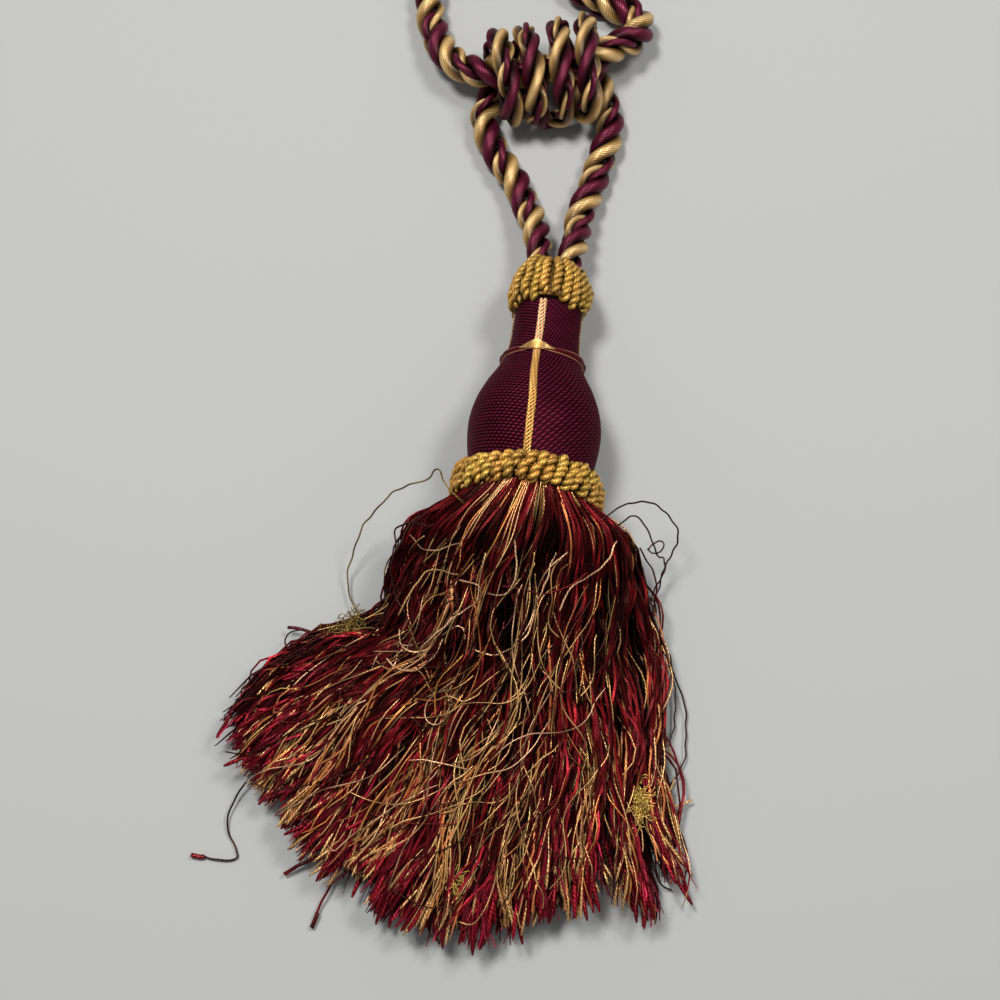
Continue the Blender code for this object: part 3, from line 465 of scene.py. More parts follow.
# ---------------------------------------------------------------- meshes
def corner_uvs(left, right, low, high):
    """UVs (..., 4, 2) for the corners of quads, in the order that their faces list them."""
    left, right, low, high = np.broadcast_arrays(left, right, low, high)
    corners = ((left, low), (right, low), (right, high), (left, high))
    return np.stack([np.stack(pair, -1) for pair in corners], axis=-2)


def add_object(name, data):
    """A new object in the scene."""
    item = bpy.data.objects.new(name, data)
    bpy.context.scene.collection.objects.link(item)
    return item


class Shape:
    """Points and faces gathered into one mesh."""

    def __init__(self):
        self.points, self.colours, self.groups, self.count = [], [], [], 0

    def add(self, points, faces, slot, colours):
        """Points (p, 3) with their colours, and face arrays with their corners' UVs."""
        for corners, uvs in faces:
            self.groups.append((corners + self.count, uvs, slot))
        self.points.append(points)
        self.colours.append(colours)
        self.count += len(points)

    def rings(self, rings, along, slot=0, colours=(1.0, 1.0, 1.0)):
        """Closed tubes from rings (n, m, sides, 3); along (n, m) is each ring's distance in mm.

        The colours are one for all, or one for each tube, each ring or each point.
        """
        count, steps, sides = rings.shape[:3]
        at = np.arange(count * steps * sides).reshape(count, steps, sides)
        beside = np.roll(at, -1, axis=2)
        quads = np.stack([at[:, :-1], beside[:, :-1], beside[:, 1:], at[:, 1:]], axis=-1)
        turn = np.arange(sides) / sides
        uvs = corner_uvs(turn, turn + 1.0 / sides, along[:, :-1, None], along[:, 1:, None])
        cap_uv = np.stack([np.broadcast_to(turn, (count, sides)),
                           np.broadcast_to(along[:, :1], (count, sides))], axis=-1)
        colours = np.asarray(colours, float)
        colours = colours.reshape(colours.shape[:-1] + (1,) * (4 - colours.ndim) + (3,))
        self.add(rings.reshape(-1, 3),
                 [(quads.reshape(-1, 4), uvs.reshape(-1, 4, 2)),
                  (at[:, 0, ::-1], cap_uv), (at[:, -1], cap_uv)], slot,
                 np.broadcast_to(colours, rings.shape).reshape(-1, 3))

    def tubes(self, lines, radius, sides, slot=0, colours=(1.0, 1.0, 1.0), facing=None,
              crest=(1.0, 1.0, 1.0)):
        """Tubes along lines (n, m, 3); the radius may vary by line, step and side.

        With a facing (n, m, 3), painted shade darkens the sides turned away from it and a painted highlight
        lightens those turned towards it; the crest tints the lightest of them as a further painted
        highlight.
        """
        lines = np.asarray(lines, float)
        normal, beside = frames(lines)
        turn = np.arange(sides) * math.tau / sides
        radius = np.asarray(radius, float)
        while radius.ndim < 3:
            radius = radius[..., None]
        outward = circle(normal[:, :, None], beside[:, :, None], turn[:, None])
        rings = lines[:, :, None] + outward * radius[..., None]
        if facing is not None:
            # painted shade and highlight: the tint follows how far each side faces out, and the crest adds
            # a painted highlight on the outermost sides
            towards = np.sum(outward * facing[:, :, None], axis=-1)
            light = np.interp(towards, *FACING_SHADE)
            colours = np.broadcast_to(np.asarray(colours, float)[..., None, :], lines.shape[:2] + (1, 3))
            ridge = np.clip((towards - PAINTED_HIGHLIGHT_START) / (1.0 - PAINTED_HIGHLIGHT_START), 0.0, 1.0)[..., None]
            colours = colours * light[..., None] * (1.0 + ridge * (np.array(crest) - 1.0))
        self.rings(rings, distances(lines) / MM, slot, colours)

    def ribbons(self, lines, width, tilt, colours):
        """Flat threads along lines (n, m, 3), as wide as given (m) and tilted round them (n, m)."""
        count, steps = lines.shape[:2]
        normal, beside = frames(lines)
        half = circle(beside, normal, tilt[..., None]) * np.asarray(width)[..., None] / 2.0
        at = np.arange(count * steps * 2).reshape(count, steps, 2)
        quads = np.stack([at[:, :-1, 0], at[:, :-1, 1], at[:, 1:, 1], at[:, 1:, 0]], axis=-1)
        run = distances(lines) / MM
        uvs = corner_uvs(0.0, 1.0, run[:, :-1], run[:, 1:])
        self.add(np.stack([lines - half, lines + half], axis=2).reshape(-1, 3),
                 [(quads.reshape(-1, 4), uvs.reshape(-1, 4, 2))], 0,
                 np.repeat(colours.reshape(-1, 3), 2, axis=0))

    def make(self, name, materials, nodes=()):
        """The finished piece, riding on the part and standing for its nodes."""
        mesh = bpy.data.meshes.new(name)
        points = np.concatenate(self.points)
        points[:, 2] = np.maximum(points[:, 2], 0.0)
        corners = np.concatenate([group[0].ravel() for group in self.groups])
        sizes = np.concatenate([np.full(len(group[0]), group[0].shape[1]) for group in self.groups])
        uvs = np.concatenate([group[1].reshape(-1, 2) for group in self.groups])
        slots = np.concatenate([np.full(len(group[0]), group[2]) for group in self.groups])
        mesh.vertices.add(len(points))
        mesh.vertices.foreach_set("co", points.ravel())
        mesh.loops.add(len(corners))
        mesh.loops.foreach_set("vertex_index", corners.astype(np.int32))
        mesh.polygons.add(len(sizes))
        starts = np.concatenate([[0], np.cumsum(sizes)[:-1]])
        mesh.polygons.foreach_set("loop_start", starts.astype(np.int32))
        mesh.polygons.foreach_set("use_smooth", (sizes == 4) if len(set(sizes)) > 1 else sizes > 0)
        mesh.polygons.foreach_set("material_index", slots.astype(np.int32))
        layer = mesh.uv_layers.new(name="yarn")
        layer.uv.foreach_set("vector", uvs.ravel().astype(np.float32))
        tint = mesh.color_attributes.new(name="tint", type="FLOAT_COLOR", domain="POINT")
        rgba = np.ones((len(points), 4), np.float32)
        rgba[:, :3] = np.concatenate(self.colours)
        tint.data.foreach_set("color", rgba.ravel())
        mesh.update(calc_edges=True)
        mesh.validate()
        for material in materials:
            mesh.materials.append(material)
        piece = add_object(name, mesh)
        if nodes:
            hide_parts(*nodes)
        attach(piece, "root")
        return piece


# ---------------------------------------------------------------- materials
def link_math(tree, kind, *values):
    """A Math node of sockets or numbers; returns its output."""
    node = tree.nodes.new("ShaderNodeMath")
    node.operation = kind
    for socket, value in zip(node.inputs, values):
        if isinstance(value, (int, float)):
            socket.default_value = value
        else:
            tree.links.new(value, socket)
    return node.outputs[0]


def blend_colours(tree, kind, share, first, second):
    """A colour mix; each of its three inputs is a socket or a value."""
    node = tree.nodes.new("ShaderNodeMix")
    node.data_type = "RGBA"
    node.blend_type = kind
    for key, value in (("Factor_Float", share), ("A_Color", first), ("B_Color", second)):
        socket = next(item for item in node.inputs if item.identifier == key)
        if isinstance(value, bpy.types.NodeSocket):
            tree.links.new(value, socket)
        else:
            socket.default_value = value if isinstance(value, (int, float)) else (*value, 1.0)
    return next(item for item in node.outputs if item.identifier == "Result_Color")


def yarn(name, colour, groove, starts=3, pitch=4.0, groove_share=0.6, bump=0.12, fibre=0.25,
         roughness=0.38, tinted=False, glint=GOLD_GLINT, shine=0.5, satin=0.3):
    """Satin yarn: twisted threads follow the piece's own UVs, u round it and v along it in mm, with painted
    shade in the grooves between them.

    Its satin share mirrors the lamps in the yarn's own colour, as silky floss does.
    """
    material = bpy.data.materials.new(name)
    material.use_nodes = True
    tree = material.node_tree
    shader = tree.nodes["Principled BSDF"]
    uv = tree.nodes.new("ShaderNodeUVMap")
    uv.uv_map = "yarn"
    split = tree.nodes.new("ShaderNodeSeparateXYZ")
    tree.links.new(uv.outputs[0], split.inputs[0])
    turned = link_math(tree, "ADD", split.outputs[0], link_math(tree, "DIVIDE", split.outputs[1], pitch))
    wave = link_math(tree, "SINE", link_math(tree, "MULTIPLY", turned, math.tau * starts))
    ridge = link_math(tree, "MULTIPLY_ADD", wave, 0.5, 0.5)
    streaks = tree.nodes.new("ShaderNodeCombineXYZ")
    tree.links.new(link_math(tree, "MULTIPLY", turned, 14.0), streaks.inputs[0])
    tree.links.new(link_math(tree, "MULTIPLY", split.outputs[1], 0.35), streaks.inputs[1])
    noise = tree.nodes.new("ShaderNodeTexNoise")
    noise.inputs["Scale"].default_value = 1.0
    noise.inputs["Detail"].default_value = 3.0
    tree.links.new(streaks.outputs[0], noise.inputs["Vector"])
    base, dark = colour, groove
    if tinted:
        tint = tree.nodes.new("ShaderNodeVertexColor")
        tint.layer_name = "tint"
        base = tint.outputs[0]
        dark = blend_colours(tree, "MULTIPLY", 1.0, base, groove)
    # painted shade: the groove colour darkens the yarn between its twisted threads
    lined = blend_colours(tree, "MIX", link_math(tree, "POWER", ridge, groove_share), dark, base)
    shade = link_math(tree, "MULTIPLY_ADD", noise.outputs[0], 2.0 * fibre, 1.0 - fibre)
    grey = tree.nodes.new("ShaderNodeCombineColor")
    for socket in grey.inputs:
        tree.links.new(shade, socket)
    tree.links.new(blend_colours(tree, "MULTIPLY", 1.0, lined, grey.outputs[0]),
                   shader.inputs["Base Color"])
    height = link_math(tree, "ADD", ridge, link_math(tree, "MULTIPLY", noise.outputs[0], 0.6))
    relief = tree.nodes.new("ShaderNodeBump")
    relief.inputs["Strength"].default_value = 0.8
    relief.inputs["Distance"].default_value = bump * MM
    tree.links.new(height, relief.inputs["Height"])
    tree.links.new(relief.outputs[0], shader.inputs["Normal"])
    shader.inputs["Roughness"].default_value = roughness
    shader.inputs["Metallic"].default_value = satin
    shader.inputs["Specular IOR Level"].default_value = shine
    shader.inputs["Specular Tint"].default_value = (*glint, 1.0)
    return material


# ---------------------------------------------------------------- places round the head
def around(along, radius, degrees):
    """Points round the head's axis, in metres; 0 degrees is the front, 90 the right."""
    out = circle(FRONT, SIDE, np.radians(degrees)[..., None])
    return HEAD_BASE + AXIS * np.asarray(along)[..., None] + out * np.asarray(radius)[..., None]


def from_axis(points):
    """The ways that lead from the head's axis straight out to the points."""
    return unit(points - (HEAD_BASE + AXIS * ((points - HEAD_BASE) @ AXIS)[..., None]))


def head_radius(along):
    """The head's radius (mm) at a distance above the lower ruff (mm), its corners eased."""
    places, radii = np.array(HEAD_PROFILE).T
    fine = np.arange(places[0] - 3.0, places[-1] + 3.0, 0.25)
    rough = np.interp(fine, places, radii)
    window = np.hanning(17)
    padded = np.pad(rough, 8, mode="edge")
    return np.interp(along, fine, np.convolve(padded, window / window.sum(), mode="valid"))


# ---------------------------------------------------------------- camera, light, floor
def add_table():
    """The pale tabletop."""
    floor_mesh = bpy.data.meshes.new("floor")
    corners = [(x * FLOOR_REACH, y * FLOOR_REACH, 0) for x, y in ((-1, -1), (1, -1), (1, 1), (-1, 1))]
    floor_mesh.from_pydata(corners, [], [(0, 1, 2, 3)])
    floor = add_object("floor", floor_mesh)
    top = bpy.data.materials.new("pale_tabletop")
    top.use_nodes = True
    shader = top.node_tree.nodes["Principled BSDF"]
    shader.inputs["Base Color"].default_value = TABLE_GREY
    shader.inputs["Roughness"].default_value = 0.55
    shader.inputs["Specular IOR Level"].default_value = 0.06
    floor_mesh.materials.append(top)


def add_light():
    """Two square lamps, the room's own soft light and the plain view of colours."""
    for name, place, power in LAMPS:
        light = bpy.data.lights.new(name, "AREA")
        light.size = LAMP_SIZE
        light.color = LAMP_COLOUR
        light.energy = power
        lamp = add_object(name, light)
        lamp.location = place
        aim = np.array(LAMP_AIM) - np.array(place)
        lamp.rotation_euler = (math.atan2(math.hypot(aim[0], aim[1]), -aim[2]), 0.0,
                               math.atan2(aim[0], -aim[1]) + math.pi)
    world = bpy.data.worlds.new("studio")
    world.use_nodes = True
    background = world.node_tree.nodes["Background"]
    background.inputs["Color"].default_value = ROOM_COLOUR
    background.inputs["Strength"].default_value = ROOM_STRENGTH
    bpy.context.scene.world = world
    bpy.context.scene.view_settings.view_transform = "Standard"


def add_camera():
    """The camera, aimed as in the photograph."""
    lens = bpy.data.cameras.new("camera")
    lens.lens = CAMERA_LENS
    lens.sensor_width = 36.0
    camera = add_object("camera", lens)
    back = np.array([0.0, -math.cos(CAMERA_ELEVATION), math.sin(CAMERA_ELEVATION)])
    camera.location = CAMERA_TARGET + CAMERA_DISTANCE * back
    camera.rotation_euler = (math.pi / 2.0 - CAMERA_ELEVATION, 0.0, 0.0)
    bpy.context.scene.camera = camera


# ---------------------------------------------------------------- ropes
def hitch_frame():
    """The way along the hitch, the way from it to the loop, and its middle."""
    along = np.array([math.cos(HITCH_HEADING), math.sin(HITCH_HEADING), 0.0])
    away = np.array([-math.sin(HITCH_HEADING), math.cos(HITCH_HEADING), 0.0])
    height = UP * (WRAP_HEIGHT + WRAP_RADIUS + TABLE_CLEARANCE)
    return along, away, HITCH_CENTRE + height


def hitch_point(turn, shift):
    """A point of a wrap round the tieback rope: 0 degrees faces the head, 90 is on top."""
    along, away, centre = hitch_frame()
    angle = math.radians(turn)
    push = 1.0 + BIGHT_PUSH * (min(turn, 0.0) / WRAP_SHIFT[0][0]) ** 2
    reach = WRAP_REACH + WRAP_WIDENING * shift
    return (centre + along * shift - away * (reach * math.cos(angle) * push)
            + UP * (WRAP_HEIGHT * math.sin(angle) * push))


def half_hitch(sign):
    """The wraps on one side of the bight, from the bight out to the leg."""
    turns, shifts = np.array(WRAP_SHIFT).T
    count = round((turns[-1] - turns[0]) / WRAP_STEP)
    return [hitch_point(turn, sign * np.interp(turn, turns, shifts) * MM)
            for turn in np.linspace(turns[0], turns[-1], count + 1)]


def suspension_points():
    """The cord from the left of the ruff's top, through the hitch, back to its right."""
    top = HEAD_BASE + AXIS * (UPPER_RUFF_START + 14.8 * MM)
    ends = []
    for side, leg in ((-1.0, LEFT_LEG), (1.0, RIGHT_LEG)):
        end = top + SIDE * LEG_SPREAD * side
        ends.append([end, end + AXIS * 3.0 * MM] + [np.array(point) * MM for point in leg])
    return ends[0] + half_hitch(-1.0)[::-1] + half_hitch(1.0)[1:] + ends[1][::-1]


def suspension_radius(share):
    """The cord's radius: thinner at its ends, in the wraps and most of all in the bight."""
    end = np.minimum(share, 1.0 - share)
    return np.where(end > BIGHT_TAPER[0][0], np.interp(end, *BIGHT_TAPER), np.interp(end, *LEG_TAPER))


def loop_points():
    """The tieback rope from inside the hitch, round its loop and back."""
    along, away, centre = hitch_frame()
    inside = [[centre + (along * reach + away * aside) * MM for reach, aside in places]
              for places in (INSIDE_RIGHT, INSIDE_LEFT)]
    return inside[0] + [np.array(point) * MM for point in LOOP_ROUTE] + inside[1]


def suspension_lay(share):
    """The length of one turn of the cord's plies: looser in the hitch than in the legs."""
    return np.interp(np.minimum(share, 1.0 - share), *LAY_CHANGE)


def add_rope(name, node, points, radius_at, lay_at, materials):
    """Three plies laid together: one gold, one burgundy and one of both, twisted the other way."""
    line = smooth_line(points, 1.0 * MM)
    normal, beside = (item[0] for item in frames(line[None]))
    run = distances(line[None])[0]
    share = np.linspace(0.0, 1.0, len(line))
    radius = radius_at(share)[:, None]
    twists = np.concatenate([[0.0], np.cumsum(np.diff(run) / lay_at(share[1:]))])
    rope = Shape()
    for ply in range(3):
        turn = (math.tau * (twists + ply / 3.0) + ROPE_START)[:, None]
        out = circle(normal, beside, turn)
        centre = line + out * radius * (1.0 - PLY_SHARE)
        # painted shade between the plies and painted highlight along their outer sides
        if ply < 2:
            rope.tubes(centre[None], (radius * PLY_SHARE)[None, :, 0], 12, slot=ply,
                       colours=np.array(ROPE_COLOURS[ply])[None, None], facing=out[None],
                       crest=ROPE_PAINTED_HIGHLIGHTS[ply])
            continue
        aside = np.cross(unit(np.gradient(centre, axis=0)), out)
        for strand in range(2):
            twist = (-math.tau * run / PAIR_LAY + strand * math.pi)[:, None]
            offset = circle(out, aside, twist) * radius * PLY_SHARE * PAIR_APART
            size = radius * PLY_SHARE * PAIR_SHARE
            rope.tubes((centre + offset)[None], size[None, :, 0], 10, slot=strand,
                       colours=np.array(ROPE_COLOURS[strand])[None, None], facing=out[None],
                       crest=ROPE_PAINTED_HIGHLIGHTS[strand])
    piece = rope.make(name, materials, (node,))
    return piece


def add_ropes():
    """Both ropes, in two satin yarns with fine fibre lines."""
    look = {"starts": 17, "pitch": -16.0, "groove_share": 0.9, "bump": 0.09, "fibre": 0.5,
            "roughness": 0.34, "tinted": True}
    gold = yarn("rope_gold", ROPE_COLOURS[0], (0.44, 0.32, 0.17), glint=ROPE_GLINT, shine=1.0,
                satin=0.35, **look)
    burgundy = yarn("rope_burgundy", ROPE_COLOURS[1], (0.40, 0.32, 0.36), glint=(1.0, 0.60, 0.66),
                    shine=0.5, satin=0.5, **look)
    add_rope("suspension_rope", "suspension_cord", suspension_points(), suspension_radius,
             suspension_lay, (gold, burgundy))
    add_rope("loop_rope", "tieback_rope", loop_points(), lambda share: np.full(share.shape, ROPE_RADIUS),
             lambda share: np.full(share.shape, ROPE_LAY), (gold, burgundy))


# ---------------------------------------------------------------- head
def blend(first, second, share):
    """Tints between two colours."""
    return np.array(first) * (1.0 - share) + np.array(second) * share


def add_head():
    """The head, wound with fine yarn whose turns climb to the right."""
    rows = np.arange(0.3, 55.0, HEAD_STEP)
    turns = np.arange(HEAD_SIDES) * 360.0 / HEAD_SIDES
    along, turn = np.meshgrid(rows, turns, indexing="ij")
    right, left = WRAP_RISE
    rise = np.where(turn < 180.0, right * turn / 180.0, right + left * (turn - 180.0) / 180.0)
    crest = 0.5 + 0.5 * np.cos(math.tau * (along / WRAP_PITCH - rise))
    points = around(along * MM, (head_radius(along) + WRAP_DEPTH * crest) * MM, turn)
    # painted shade: the yarn darkens from its crests into the grooves between its turns
    tints = blend(DEEP_BURGUNDY, HEAD_BURGUNDY, crest[..., None] ** 1.5)
    head = Shape()
    head.rings(points[None, :, ::-1], rows[None], colours=tints[None, :, ::-1])
    skin = yarn("head_yarn", BURGUNDY, (0.16, 0.12, 0.14), starts=72, pitch=152.0, groove_share=1.1,
                bump=0.14, fibre=0.45, roughness=0.45, tinted=True, glint=ROSE_GLINT, shine=0.04,
                satin=0.35)
    return head.make("wound_head", [skin], ("head",))


def stripe_line(stripe):
    """The middle line of a stripe laid down the head."""
    along = np.arange(0.8, 54.6, STRIPE_STEP)
    share = np.clip((40.0 - along) / 22.0, 0.0, 1.0)
    return around(along * MM, (head_radius(along) + STRIPE_RISE) * MM,
                  stripe["turn"] + stripe["drift"] * share)


def add_stripes(gold):
    """Each stripe: gold cords twisted together and pressed flat against the head."""
    for stripe in STRIPES:
        cords = Shape()
        line = stripe_line(stripe)
        outward = from_axis(line)
        aside = np.cross(unit(np.gradient(line, axis=0)), outward)
        run = distances(line[None])[0] / MM
        peach = np.clip((run - 34.0) / 8.0, 0.0, 1.0)[:, None]
        tints = blend(GOLD, PEACH, peach)
        for strand in range(STRIPE_STRANDS):
            twist = (math.tau * (run / STRIPE_LAY + strand / STRIPE_STRANDS))[:, None]
            offset = circle(outward * STRIPE_HALF[0], aside * STRIPE_HALF[1], twist) * MM
            # painted shade on the cords' inner sides, painted highlight on their outer ones
            cords.tubes((line + offset)[None], STRIPE_CORD * MM, 7, colours=tints[None],
                        facing=outward[None])
        cords.make(stripe["name"] + "_cord", [gold], (stripe["name"],))


# ---------------------------------------------------------------- ruffs
def equal_steps(lines):
    """Lines of unlike point counts, cut into as many steps as the shortest has."""
    steps = min(len(line) for line in lines)
    return np.stack([recut(line, steps) for line in lines])


def uneven_gold(chance, count, steps):
    """Gold tints for cords (count, steps, 3), each a little lighter, darker or greener."""
    shade = np.exp(chance.normal(0.0, 0.16, (count, 1, 1)) + chance.normal(0.0, 0.05, (count, steps, 1)))
    return np.array(RUFF_GOLD) * shade * (1.0 + chance.uniform(-0.08, 0.08, (count, 1, 3)))


def add_cords(ruff, chance, lines, ply_radius, swell):
    """Cords of two plies twisted together along the lines, their size given by their swell."""
    lines = equal_steps(lines)
    count, steps = lines.shape[:2]
    radius = np.interp(np.linspace(0.0, 1.0, steps), *swell) * ply_radius * MM
    starts = chance.uniform(0.0, 6.28, (count, 1))
    tints = uneven_gold(chance, count, steps)
    normal, beside = frames(lines)
    run = distances(lines) / MM
    for ply in range(2):
        twist = (math.tau * (run / RUFF_LAY + ply / 2.0) + starts)[..., None]
        offset = circle(normal, beside, twist) * radius[:, None] * RUFF_APART
        # painted shade between the cords, lighter where they face out
        ruff.tubes(lines + offset, radius[None], 8, colours=tints, facing=from_axis(lines))


def add_backing(ruff, start, rows, radii, sides):
    """The body under a ruff's cords, dark gold as painted shade between them: radii (mm) at rows (mm) above
    its start (m).
    """
    along, turn = np.meshgrid(rows, np.arange(sides) * 360.0 / sides, indexing="ij")
    radius = np.repeat(radii[:, None], sides, 1) * MM
    ruff.rings(around(along * MM + start, radius, turn)[None, :, ::-1], rows[None], colours=BACKING_SHADE_GOLD)


def add_upper_ruff(gold):
    """Two-ply cords that fall from the cord ends like petals and end unevenly above the neck."""
    chance = np.random.default_rng(SEEDS["upper_ruff"])
    ruff = Shape()
    places, radii = np.array(UPPER_CORD)
    lines = []
    for column in range(UPPER_CORDS):
        turn = 360.0 * (column + 0.5) / UPPER_CORDS + chance.uniform(-UPPER_OFF, UPPER_OFF)
        low = np.clip((9.0 - places) / 9.0, 0.0, 1.0)
        high = np.clip((places - 9.0) / 6.0, 0.0, 1.0)
        rise = chance.uniform(*UPPER_RISE["bottom"]) * low + chance.uniform(*UPPER_RISE["top"]) * high
        sway = high * chance.uniform(-UPPER_SWAY["top"], UPPER_SWAY["top"])
        sway = sway + low * chance.uniform(-UPPER_SWAY["bottom"], UPPER_SWAY["bottom"])
        bulge = radii + chance.uniform(*UPPER_BULGE["cord"])
        bulge = bulge + chance.uniform(*UPPER_BULGE["point"], len(radii))
        points = around(UPPER_RUFF_START + (places + rise) * MM, bulge * MM, turn + sway)
        lines.append(smooth_line(points, RUFF_STEP * MM))
    add_cords(ruff, chance, lines, UPPER_PLY, UPPER_SWELL)
    rows = np.linspace(UPPER_BACKING[0][0], UPPER_BACKING[0][-1], 30)
    add_backing(ruff, UPPER_RUFF_START, rows, np.interp(rows, *UPPER_BACKING), 48)
    ruff.make("upper_ruff_loops", [gold], ("upper_ruff",))


def add_lower_ruff(gold):
    """Two rows of short, slanting two-ply loops round the head's base."""
    chance = np.random.default_rng(SEEDS["lower_ruff"])
    ruff = Shape()
    for places, radii, shift in LOWER_ROWS:
        lines = []
        for column in range(LOWER_CORDS):
            turn = 360.0 * (column + shift) / LOWER_CORDS + chance.uniform(-LOWER_OFF, LOWER_OFF)
            slant = np.linspace(-1.0, 1.0, len(places)) * chance.uniform(*LOWER_SLANT)
            rise = chance.uniform(-LOWER_RISE, LOWER_RISE)
            radius = np.array(radii) + chance.uniform(*LOWER_BULGE)
            radius = np.minimum(radius, RUFF_REACH - LOWER_PLY)
            squeeze = 1.0 - RUFF_SQUEEZE * max(0.0, math.cos(math.radians(turn)))
            drop = (RUFF_THICK / MM - np.array(places) - rise) * squeeze
            points = around(-drop * MM, radius * MM, turn + slant)
            lines.append(smooth_line(points, RUFF_STEP * MM))
        add_cords(ruff, chance, lines, LOWER_PLY, LOWER_SWELL)
    add_backing(ruff, -RUFF_THICK, *np.array(LOWER_BACKING), 72)
    ruff.make("lower_ruff_loops", [gold], ("lower_ruff",))


def tie_radius(turns):
    """The head's radius under the tie (mm), with its climb over the stripes."""
    away = np.min([np.abs((turns - stripe["turn"] + 180.0) % 360.0 - 180.0) for stripe in STRIPES], axis=0)
    climb = np.clip((18.0 - away) / 9.0, 0.0, 1.0)
    return head_radius(TIE_LOW) + 0.30 + 0.75 * climb * climb * (3.0 - 2.0 * climb)


def add_neck_tie(gold, copper, burgundy):
    """Fine threads round the neck that gather into a flat-bottomed gold knot over the front stripe."""
    tie = Shape()
    middle = STRIPES[0]["turn"]
    turns = np.linspace(0.0, 360.0, 241)
    away = np.minimum(turns, 360.0 - turns)
    for thread in TIE_THREADS:
        along = TIE_LOW + np.interp(away, TIE_TURNS, thread["up"])
        line = around(along * MM, tie_radius(turns + middle) * MM, turns + middle)
        tie.tubes(line[None], thread["radius"] * MM, 6, slot=thread["slot"])
    share = np.linspace(-1.0, 1.0, 41)
    bands = []
    for band in np.linspace(0.0, 1.0, 9):
        rise = band * (TIE_PEAK - 0.6) * (1.0 - np.abs(share)) ** 1.15
        along = TIE_LOW + 0.2 + rise + 0.5 * np.abs(share)
        height = 1.45 - 0.85 * np.abs(share) ** 1.5 - 0.25 * abs(band - 0.5)
        bands.append(around(along * MM, (head_radius(TIE_LOW) + height) * MM, middle + share * TIE_REACH))
    # painted highlight along the knot's middle, painted shade towards its ends
    light = 0.45 + 0.85 * np.exp(-((share - 0.05) / 0.20) ** 2)
    tints = np.array(TIE_GOLD) * light[None, :, None] * np.ones((len(bands), 1, 3))
    tie.tubes(np.array(bands), 0.27 * MM, 6, slot=2, colours=tints)
    tie.make("neck_tie_threads", [copper, burgundy, gold], ("neck_tie",))


# ---------------------------------------------------------------- skirt
def across_row(row, across):
    """Points of a skirt row at -1 (left edge) to 1 (right edge)."""
    left, middle, right = (np.array(row[key]) for key in ("left", "middle", "right"))
    across = across[:, None]
    return (left * (across * (across - 1.0) / 2.0) + middle * (1.0 - across * across)
            + right * (across * (across + 1.0) / 2.0))


def parted(side, share):
    """Places across the fan, pushed apart beside each parting; share is how far down the fan."""
    for parting in PARTINGS:
        gap = side - parting["across"]
        side = side + np.sign(gap) * parting["open"] * share ** 2 * np.exp(-np.abs(gap) / 0.06)
    return side


def thread_controls(roots, across, level, clump_across, clump_level, clump_lift, pull, sink=0.0):
    """Control points for each thread: its root, then one for each row, drawn towards its clump."""
    points = [roots + AXIS * 9.0 * MM, roots]
    for index, row in enumerate(SKIRT_ROWS):
        part = (index + 1) / len(SKIRT_ROWS)
        share = pull * part ** 1.2
        side = across + (clump_across - across) * share
        dip = math.sin(math.pi * min(1.0, 1.25 * part)) ** 2
        rank = level + (clump_level - level) * share - sink * dip
        side = parted(side - SKIRT_SWAY[index] * rank * (1.0 - side * side), part)
        arch = np.sqrt(np.maximum(0.0, 1.0 - side * side))
        place = across_row(row, side)
        low = row["lift"] * (1.0 - arch)
        high = row["lift"] + row["edge"] + (row["crown"] - row["lift"] - row["edge"]) * arch
        lift = clump_lift * math.sin(math.pi * part) * np.clip(2.0 * rank - 1.0, 0.0, 1.0)
        points.append(np.column_stack([place, low + (high - low) * rank + lift]) * MM)
    points.append(points[-1] * 2.0 - points[-2])
    return np.stack(points, axis=1)


def along_controls(controls, where):
    """Points (n, m, 3) on the smooth lines through the controls; where (n, m) counts rows."""
    index = np.minimum(where.astype(int), controls.shape[1] - 4)
    share = (where - index)[..., None]
    pick = np.arange(len(controls))[:, None]
    return spline(*(controls[pick, index + step] for step in range(4)), share)


def crinkle(chance, lines, strength, waves):
    """Sideways and upward waves that grow from each thread's root."""
    count = len(lines)
    run = distances(lines) / MM
    ahead = unit(np.gradient(lines, axis=1))
    side = unit(np.cross(ahead, UP))
    over = np.cross(side, ahead)
    grow = np.clip(run / 35.0, 0.15, 1.0)
    moved = lines.copy()
    for direction, scale in ((side, 1.0), (over, 0.7)):
        for low, high, size in waves:
            length = chance.uniform(low, high, (count, 1))
            start = chance.uniform(0.0, math.tau, (count, 1))
            wave = wave_at(run, length, start) * size * scale
            moved += direction * (wave * grow * strength[:, None])[..., None] * MM
    return moved


def beside_hollow(lines, hollow):
    """How far each point is down and to the side of a hollow's middle (mm)."""
    away = lines[..., :2] / MM - np.array([hollow["x"], hollow["y"]])
    return away @ HOLLOW_RUN, away @ np.array([HOLLOW_RUN[1], -HOLLOW_RUN[0]])


def hollowed(lines):
    """Threads moved aside, each to its own side, where the upper locks leave a hollow."""
    for hollow in HOLLOWS:
        down, side = beside_hollow(lines, hollow)
        nearest = np.argmin(np.abs(down), axis=1)
        own = np.sign(side[np.arange(len(lines)), nearest])[:, None]
        share = np.exp(-(down / hollow["long"]) ** 2
                       - np.maximum(side * own, 0.0) / (1.5 * hollow["wide"]))
        push = own * share * hollow["wide"]
        lines[..., 0] += push * HOLLOW_RUN[1] * MM
        lines[..., 1] -= push * HOLLOW_RUN[0] * MM
    return lines


def hollow_shade(lines):
    """Painted shade for points deep in the hollows: a dark share there, 1 elsewhere."""
    shade = np.ones(lines.shape[:2])
    for hollow in HOLLOWS:
        down, side = beside_hollow(lines, hollow)
        shade -= 0.88 * np.exp(-(down / (1.1 * hollow["long"])) ** 2 - (side / (1.7 * hollow["wide"])) ** 2)
    return np.maximum(shade, 0.16)


